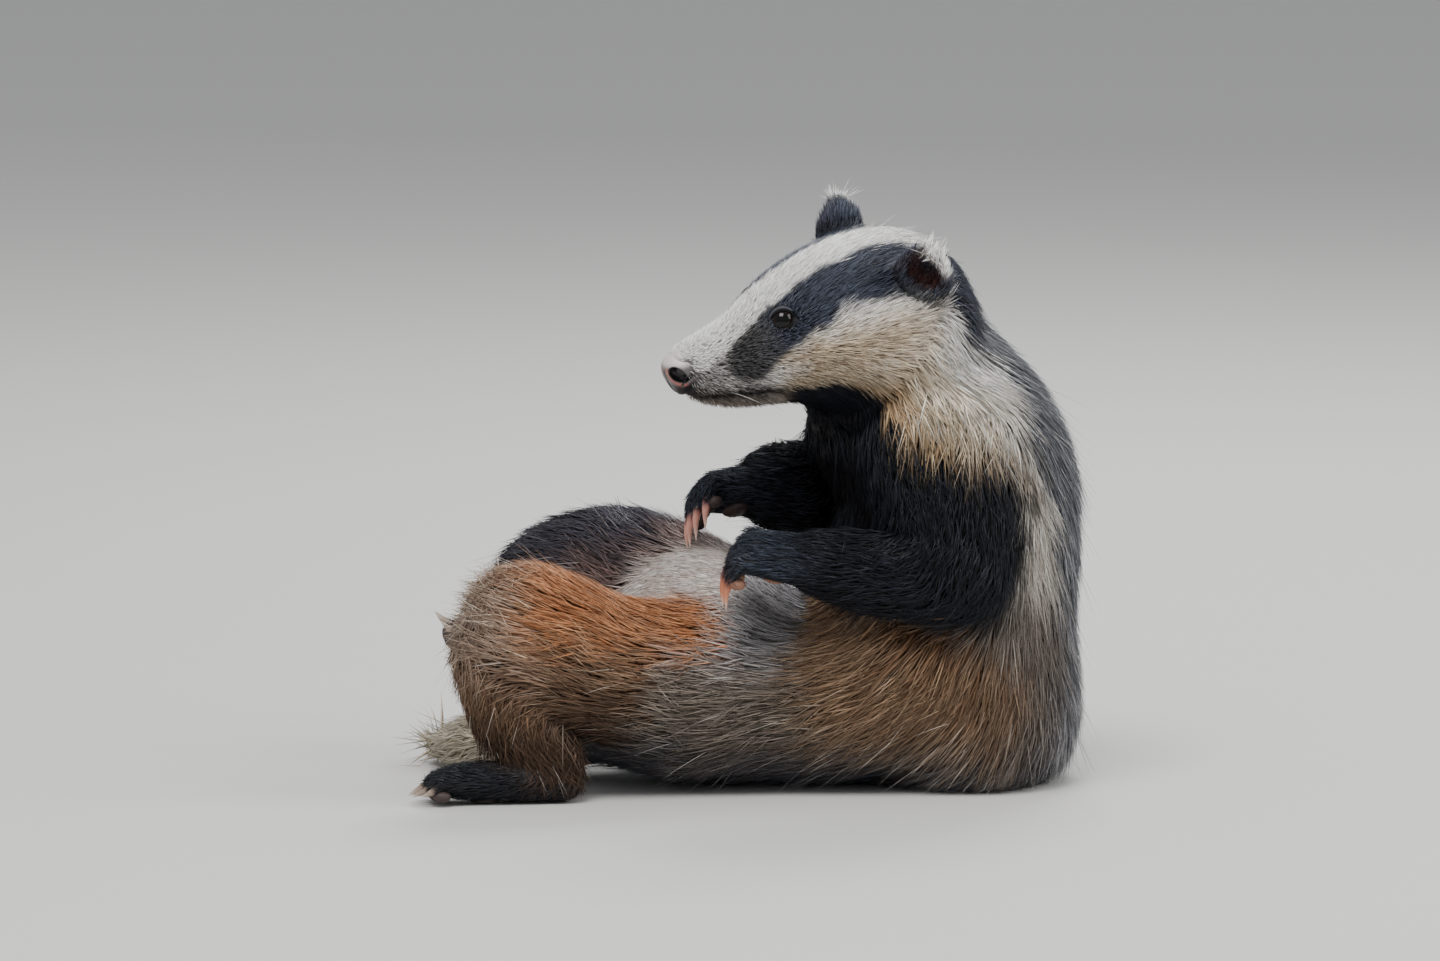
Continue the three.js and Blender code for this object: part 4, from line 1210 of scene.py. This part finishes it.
def through(name, rings, colours):
    """A closed mesh through rings of points, with one colour for each ring."""
    rings = np.array(rings)
    count, sides = rings.shape[:2]
    colours = np.array(colours)
    shades = np.concatenate([colours.repeat(sides, axis=0), colours[:1], colours[-1:]])
    return new_mesh(name, tube_points(rings), tube_faces(count, sides), shades)


def around(centre, x_axis, y_axis, x_size, y_size, count):
    turn = np.arange(count) / count * 2 * math.pi
    return centre + np.outer(np.cos(turn) * x_size, x_axis) + np.outer(np.sin(turn) * y_size, y_axis)


# Eyes, each under a pair of lids. The lids' opening is in degrees from the middle of the eye
SUNK = dict(left=2.3, right=2.3 + 1.2)
PUPIL, IRIS, REST_OF_EYE = linear(4, 3, 3), linear(24, 14, 9), linear(16, 11, 9)
PUPIL_ANGLE, IRIS_ANGLE = 0.55, 0.8
OPENING = dict(front=62, back=50, high=39, low=37)
CORNER_POWER = 1.7
LID_REACH = 76
LID_THICK = 0.6
LID_PLACES, LID_BAND = 56, 7
LID, LID_LINE = linear(10, 9, 11), linear(74, 76, 84)


def make_eyeball(name, centre, out, side, up):
    rings, colours = [], []
    for a in np.linspace(0.05, math.pi - 0.05, 28):
        wide = EYE_RADIUS * math.sin(a)
        rings.append(around(centre + out * EYE_RADIUS * math.cos(a), side, up, wide, wide, 40))
        colours.append(PUPIL if a < PUPIL_ANGLE else IRIS if a < IRIS_ANGLE else REST_OF_EYE)
    eyeball = finish_piece(through(f"eyeball_{name}", rings, colours), eye_look)
    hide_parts(f"eye_{name}")


def make_lids(name, centre, out, side, up, hand):
    """A ring of skin round the eye's opening, with an outer and an inner face."""
    points, colours = [], []
    for k in range(LID_PLACES):
        turn = k / LID_PLACES * 2 * math.pi
        x, y = math.cos(turn), math.sin(turn)
        height = OPENING["high"] if y > 0 else OPENING["low"]
        wide = OPENING["front"] if x > 0 else OPENING["back"]
        across, rise = abs(x) / wide, abs(y) / height
        inner = 1 / (across ** CORNER_POWER + rise ** CORNER_POWER) ** (1 / CORNER_POWER)
        outward = side * x + up * y
        for layer in (1, 0):
            for j in range(LID_BAND):
                w = j / (LID_BAND - 1) if layer else 1 - j / (LID_BAND - 1)
                angle = math.radians(inner + (LID_REACH - inner) * w)
                fold = 0.35 * math.sin(w * math.pi) * (1.6 if y > 0.1 else 0.8)
                far = EYE_RADIUS + 0.12 + layer * (LID_THICK * min(1, 0.35 + 2.6 * w) + fold)
                points.append(centre + (out * math.cos(angle) + outward * math.sin(angle)) * far)
                colours.append(LID_LINE if layer and y > 0.35 and 0.3 < w < 0.4 else LID)
    ring = LID_BAND * 2
    faces = []
    for k in range(LID_PLACES):
        here, beyond = k * ring, (k + 1) % LID_PLACES * ring
        for j in range(ring):
            after = (j + 1) % ring
            a, b, c, d = here + j, here + after, beyond + after, beyond + j
            faces.append((a, b, c, d) if hand > 0 else (a, d, c, b))
    lids = new_mesh(f"eyelids_{name}", np.array(points), np.array(faces), np.array(colours))
    finish_piece(lids, lid_look)


def make_eye(name, eye):
    out = eye["ray"]
    side = square_to(FORWARD, out)
    up = np.cross(out, side) * eye["hand"]
    up = up * np.sign(dot(up, UP))
    centre = eye["centre"] - out * SUNK[name]
    make_eyeball(name, centre, out, side, up)
    make_lids(name, centre, out, side, up, eye["hand"])


for name, eye in eyes.items():
    make_eye(name, eye)

# Claws: the colours of their root, middle and tip
PINK_CLAW = [linear(96, 54, 48), linear(206, 146, 130), linear(232, 204, 186)]
ORANGE_CLAW = [linear(104, 54, 38), linear(196, 118, 86), linear(222, 184, 156)]
GREY_CLAW = [linear(70, 58, 52), linear(160, 140, 124), linear(200, 190, 176)]


CLAW_STEPS = 16
PAD_STEPS = 9
ROUND_SIDES = 14
FORE_PAD, OTHER_PAD = linear(146, 104, 84), linear(62, 50, 46)


def make_claw(node, paw, toe, hue):
    size = paw["size"]
    out = unit(toe["tip"] - toe["middle"])
    long = size["claw"] * (1 - 0.15 * toe["place"] ** 2)
    root = toe["tip"] - out * 0.9 * size["toe"]
    bend = root + out * long * 0.34 + paw["aim"] * long * 0.2
    end = root + out * long * 0.22 + paw["aim"] * long * 0.88
    path = [root, bend, end]
    rings, colours = [], []
    for k in range(CLAW_STEPS):
        t = k / (CLAW_STEPS - 1)
        along = unit(spline(path, min(t + 0.02, 1)) - spline(path, max(t - 0.02, 0)))
        side = square_to(paw["across"], along)
        over = np.cross(along, side)
        girth = max(1 - t ** 1.7, 0.06)
        wide, deep = size["toe"] * 0.31 * girth, size["toe"] * 0.44 * girth
        rings.append(around(spline(path, t), side, over, wide, deep, ROUND_SIDES))
        colours.append(hue[0] + (hue[1] - hue[0]) * ramp(t, 0.25, 0.5) + (hue[2] - hue[1]) * ramp(t, 0.6, 1))
    claw = finish_piece(through(node.replace("claw", "nail"), rings, colours), claw_look)
    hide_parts(node)


def make_pads(name, paw):
    """The palm's pad and one under each toe."""
    size = paw["size"]
    palm_at = (paw["start"] + paw["knuckle"] * 3) / 4
    lumps = [(palm_at, size["wide"] * 0.44, size["deep"] * 0.84, 6)]
    for toe in paw["toes"]:
        lumps.append(((toe["root"] + toe["tip"] * 2) / 3, 3.0, size["toe"] * 0.62, 3.6))
    points, faces = [], []
    for centre, wide, drop, long in lumps:
        centre = centre + paw["down"] * drop
        rings = []
        for a in np.linspace(0.12, math.pi - 0.12, PAD_STEPS):
            at = centre + paw["forward"] * long * math.cos(a)
            deep = 2.6 * math.sin(a)
            rings.append(around(at, paw["across"], paw["down"], wide * math.sin(a), deep, ROUND_SIDES))
        faces.append(tube_faces(PAD_STEPS, ROUND_SIDES) + sum(len(p) for p in points))
        points.append(tube_points(np.array(rings)))
    points = np.concatenate(points)
    points[:, 2] = np.maximum(points[:, 2], 0.5)
    colours = np.tile(FORE_PAD if name == "fore_left" else OTHER_PAD, (len(points), 1))
    pads = new_mesh(f"pads_{name}", points, np.concatenate(faces), colours)
    finish_piece(pads, pad_look)


for name, paw in paws.items():
    kind, hand = name.split("_")
    hue = PINK_CLAW if name == "fore_right" else ORANGE_CLAW if kind == "fore" else GREY_CLAW
    for i, toe in enumerate(paw["toes"]):
        make_claw(f"{kind}_claw_{hand}_{5 - i}", paw, toe, hue)
    make_pads(name, paw)


# The nose
NOSE_STATIONS = [(15, 6.8, -12.4, 7.6), (8.0, 7.3, -11.8, 7.9)]
NOSE_STEP = 0.4
NOSE_TOP, NOSE_PAD, NOSE_BASE = linear(206, 197, 192), linear(96, 89, 91), linear(22, 19, 21)
PINK_RIM, NOSTRIL = linear(178, 104, 92), linear(8, 7, 8)


def all_in_head(places):
    back, left, up = places.T
    return NOSE_TIP - np.outer(back, FORWARD) + np.outer(left, LEFT) + np.outer(up, UP)


def nostril(back, left, up):
    """The fields of a nostril's round hole and of the slit behind it, 1 at their edges, and how far
    to the front and the bottom of the hole a point lies."""
    x, y, z = back - 4.6, left - 5.9, up + 0.2
    hole = np.sqrt((x / 3.7) ** 2 + (y / 3.2) ** 2 + ((z + 0.5 * x) / 3.1) ** 2)
    to_front = -x - 0.8 * z
    x, y, z = back - 9.4, left - 8.0, up + 2.2
    slit = np.sqrt((x / 4.2) ** 2 + (y / 2.6) ** 2 + ((z - 0.6 * x) / 0.9) ** 2)
    return hole, slit, to_front


def make_nose():
    """The nose pad, with comma-shaped nostrils and a groove down its front."""
    across = np.arange(-12, 12.01, NOSE_STEP)
    lines = [np.arange(-4, 19, NOSE_STEP), across, across]
    places = lattice(lines)
    back, left, up = places.T
    field = limb(links_of(head_stations(NOSE_STATIONS), LEFT), all_in_head(places))
    # The front slopes back below the rim
    field = -blended(-field, back - 0.9 + 0.33 * np.minimum(up, 4), 3)
    for hand in (1, -1):
        hole, slit, _ = nostril(back, left * hand, up)
        field = np.maximum(field, -(hole - 1) * 2.2)
        field = np.maximum(field, -(slit - 1) * 0.9)
        wing = (back - 9) ** 2 / 12 + (left * hand - 7.6) ** 2 / 4 + (up - 2.5) ** 2 / 9
        field -= 0.7 * np.exp(-wing)
    field += 0.8 * np.exp(-(left / 0.55) ** 2) * (up < 1) * (back < 9)
    places, quads = net(field.reshape([len(line) for line in lines]), lines)
    back, left, up = places.T
    hole, slit, to_front = nostril(back, np.abs(left), up)
    rim = fall(hole, 1.3, 1.8) * ramp(to_front, -0.5, 1.5) * ramp(up, -6.5, -5)
    colours = tinted(NOSE_PAD, NOSE_TOP, ramp(up, 1.5, 4.5))
    colours = tinted(colours, NOSE_BASE, ramp(-up, 4, 6.5))
    colours = tinted(colours, PINK_RIM, 0.9 * rim)
    colours = tinted(colours, NOSTRIL, fall(np.minimum(hole, slit), 1.1, 1.25))
    nose = new_mesh("nose_pad", all_in_head(places), quads, colours)
    finish_piece(nose, nose_look)
    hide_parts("nose")


make_nose()


# Whiskers and long loose hairs
FINE_RINGS = 6
FINE_BLADE = [(-1, -0.6), (1, -0.6), (0, 1)]


def fine_hairs(name, plan, lengths, widths, stand, sag, colour):
    """Long curved hairs that stand out of the coat."""
    count = len(lengths)
    roots, normals = plan["points"], plan["normals"]
    lie = square_to(plan["lie"], normals)
    heading = unit(lie + normals * stand[:, None] + 0.18 * random.normal(size=(count, 3)))
    across = unit(np.cross(heading, normals + 0.1))
    over = np.cross(heading, across)
    points = []
    for k in range(FINE_RINGS):
        t = k / (FINE_RINGS - 1)
        drop = vec(0, 0, -1) * (sag * lengths * t * t)[:, None]
        centre = roots - normals * 0.6 + heading * (lengths * t)[:, None] + drop
        wide = widths * (1 - 0.9 * t) / 2
        for x, y in FINE_BLADE:
            points.append(centre + across * (wide * x)[:, None] + over * (wide * y)[:, None])
    per = FINE_RINGS * 3
    faces = [(2, 1, 0), (per - 3, per - 2, per - 1)]
    for k in range(FINE_RINGS - 1):
        for j in range(3):
            a, b = k * 3 + j, k * 3 + (j + 1) % 3
            faces += [(a, b, b + 3), (a, b + 3, a + 3)]
    every = (np.array(faces)[None] + (np.arange(count) * per)[:, None, None]).reshape(-1, 3)
    stack = np.stack(points, axis=1).reshape(-1, 3)
    stack[:, 2] = np.maximum(stack[:, 2], LOWEST_HAIR)
    uvs = (plan["uv"][:, None] + np.zeros((1, per, 2)))[:, np.array(faces).ravel()].reshape(-1, 2)
    uvs += np.tile(random.random((3, 2)) * UV_PATCH, (len(every), 1))
    piece = new_mesh(name, stack, every, colour.repeat(per, axis=0), uvs)
    return finish_piece(piece, hair_look)


WHISKERS, BROW_WHISKERS, LOOSE_HAIRS = 34, 10, 2600
PALE_WHISKER, DARK_WHISKER, BROW_WHISKER = linear(232, 228, 222), linear(40, 38, 40), linear(150, 150, 156)
PALE_TIP = linear(232, 226, 216)


def make_whiskers():
    s, angle, body = skin_info["s"], skin_info["angle"], skin_info["share"][0]
    plan = roots_on_skin(WHISKERS, bump(s, 25, 7) * bump(angle, -18, 16) * body)
    long = 7 + 18 * random.random(WHISKERS) ** 2
    pale = (random.random(WHISKERS) < 0.6)[:, None]
    colour = np.where(pale, PALE_WHISKER, DARK_WHISKER)
    stand = 0.3 + 0.7 * random.random(WHISKERS)
    fine_hairs("whiskers", plan, long, np.full(WHISKERS, 0.42), stand, 0.15, colour)


def make_brow_whiskers():
    above_eyes = sum(bump(gap(skin_points - eye["surface"], UP * 7.5), 0, 2.5) for eye in eyes.values())
    plan = roots_on_skin(BROW_WHISKERS, above_eyes)
    long = 5 + 7 * random.random(BROW_WHISKERS)
    colour = np.tile(BROW_WHISKER, (BROW_WHISKERS, 1))
    stand = 0.5 + 0.3 * random.random(BROW_WHISKERS)
    fine_hairs("brow_whiskers", plan, long, np.full(BROW_WHISKERS, 0.3), stand, 0.1, colour)


def make_loose_hairs():
    """Single pale hairs that rise out of the coat, most along the edge of the cheek."""
    s, angle, body = skin_info["s"], skin_info["angle"], skin_info["share"][0]
    fringe = bump(angle - edge(THROAT_EDGE, s), 4, 7)
    fringe = fringe * ramp(s, 60, 90) * fall(s, 190, 215) * body
    plan = roots_on_skin(LOOSE_HAIRS, (0.3 * hair_thick + 3 * fringe) * ~is_short)
    long = plan["length"] * (0.9 + 0.4 * random.random(LOOSE_HAIRS))
    tip = plan["tones"][:, 2]
    colour = np.clip(tinted(tip, PALE_TIP, 0.7 * random.random(LOOSE_HAIRS)), 0, 0.9)
    # Hairs on dark coat stay dark
    dark = plan["tones"][:, 1].mean(axis=1) < 0.02
    colour[dark] = tip[dark]
    stand = 0.08 + 0.2 * random.random(LOOSE_HAIRS)
    fine_hairs("loose_hairs", plan, long, np.full(LOOSE_HAIRS, 0.36), stand, 0.1, colour)


make_whiskers()
make_brow_whiskers()
make_loose_hairs()


# The floor, lights and camera. Each lamp has a place, a size and a power in watts: one high in
# front, one at the right, and one behind
LAMPS = [((-0.35, -1.0, 1.7), 0.9, 30), ((1.3, -0.4, 1.0), 0.9, 13), ((0.3, 1.3, 1.4), 0.8, 24)]
LAMPS_AIM = Vector((0, 0, 0.12))
FLOOR_COLOUR = (0.60, 0.59, 0.57, 1)
SKY_COLOUR = (0.80, 0.82, 0.85, 1)


def make_stage():
    bpy.ops.mesh.primitive_plane_add(size=30, location=(0, 0, 0))
    floor = bpy.context.object
    floor.name = "floor"
    look, *_, shader = material("pale_floor", 0.9)
    shader.inputs["Base Color"].default_value = FLOOR_COLOUR
    floor.data.materials.append(look)
    world = bpy.data.worlds.new("studio")
    bpy.context.scene.world = world
    world.use_nodes = True
    background = world.node_tree.nodes["Background"]
    background.inputs["Color"].default_value = SKY_COLOUR
    background.inputs["Strength"].default_value = 0.62
    for k, (place, size, power) in enumerate(LAMPS):
        data = bpy.data.lights.new(f"softbox_{k + 1}", "AREA")
        data.size = size
        data.energy = power
        lamp = bpy.data.objects.new(f"softbox_{k + 1}", data)
        lamp.location = place
        lamp.rotation_euler = (LAMPS_AIM - Vector(place)).to_track_quat("-Z", "Y").to_euler()
        bpy.context.scene.collection.objects.link(lamp)


# The photograph's view, in pixels of 0.42 mm, from 7 degrees up and 6 m away
PHOTO_WIDE, PHOTO_HIGH = 1440, 961
ORIGIN_PIXEL = (800, 780)
PIXEL = 0.42
VIEW_RISE = math.radians(7)
VIEW_FAR = 6.0
SENSOR = 36
CENTRE_X = (PHOTO_WIDE / 2 - ORIGIN_PIXEL[0]) * PIXEL
CENTRE_RISE = (ORIGIN_PIXEL[1] - PHOTO_HIGH / 2) * PIXEL


def make_camera():
    data = bpy.data.cameras.new("camera")
    data.sensor_width = SENSOR
    data.lens = SENSOR * VIEW_FAR / (PHOTO_WIDE * PIXEL * MM)
    camera = bpy.data.objects.new("camera", data)
    look = Vector((0, math.cos(VIEW_RISE), -math.sin(VIEW_RISE)))
    up = Vector((0, math.sin(VIEW_RISE), math.cos(VIEW_RISE)))
    camera.location = Vector((CENTRE_X * MM, 0, 0)) + up * CENTRE_RISE * MM - look * VIEW_FAR
    camera.rotation_euler = look.to_track_quat("-Z", "Y").to_euler()
    bpy.context.scene.collection.objects.link(camera)
    bpy.context.scene.camera = camera


make_stage()
make_camera()
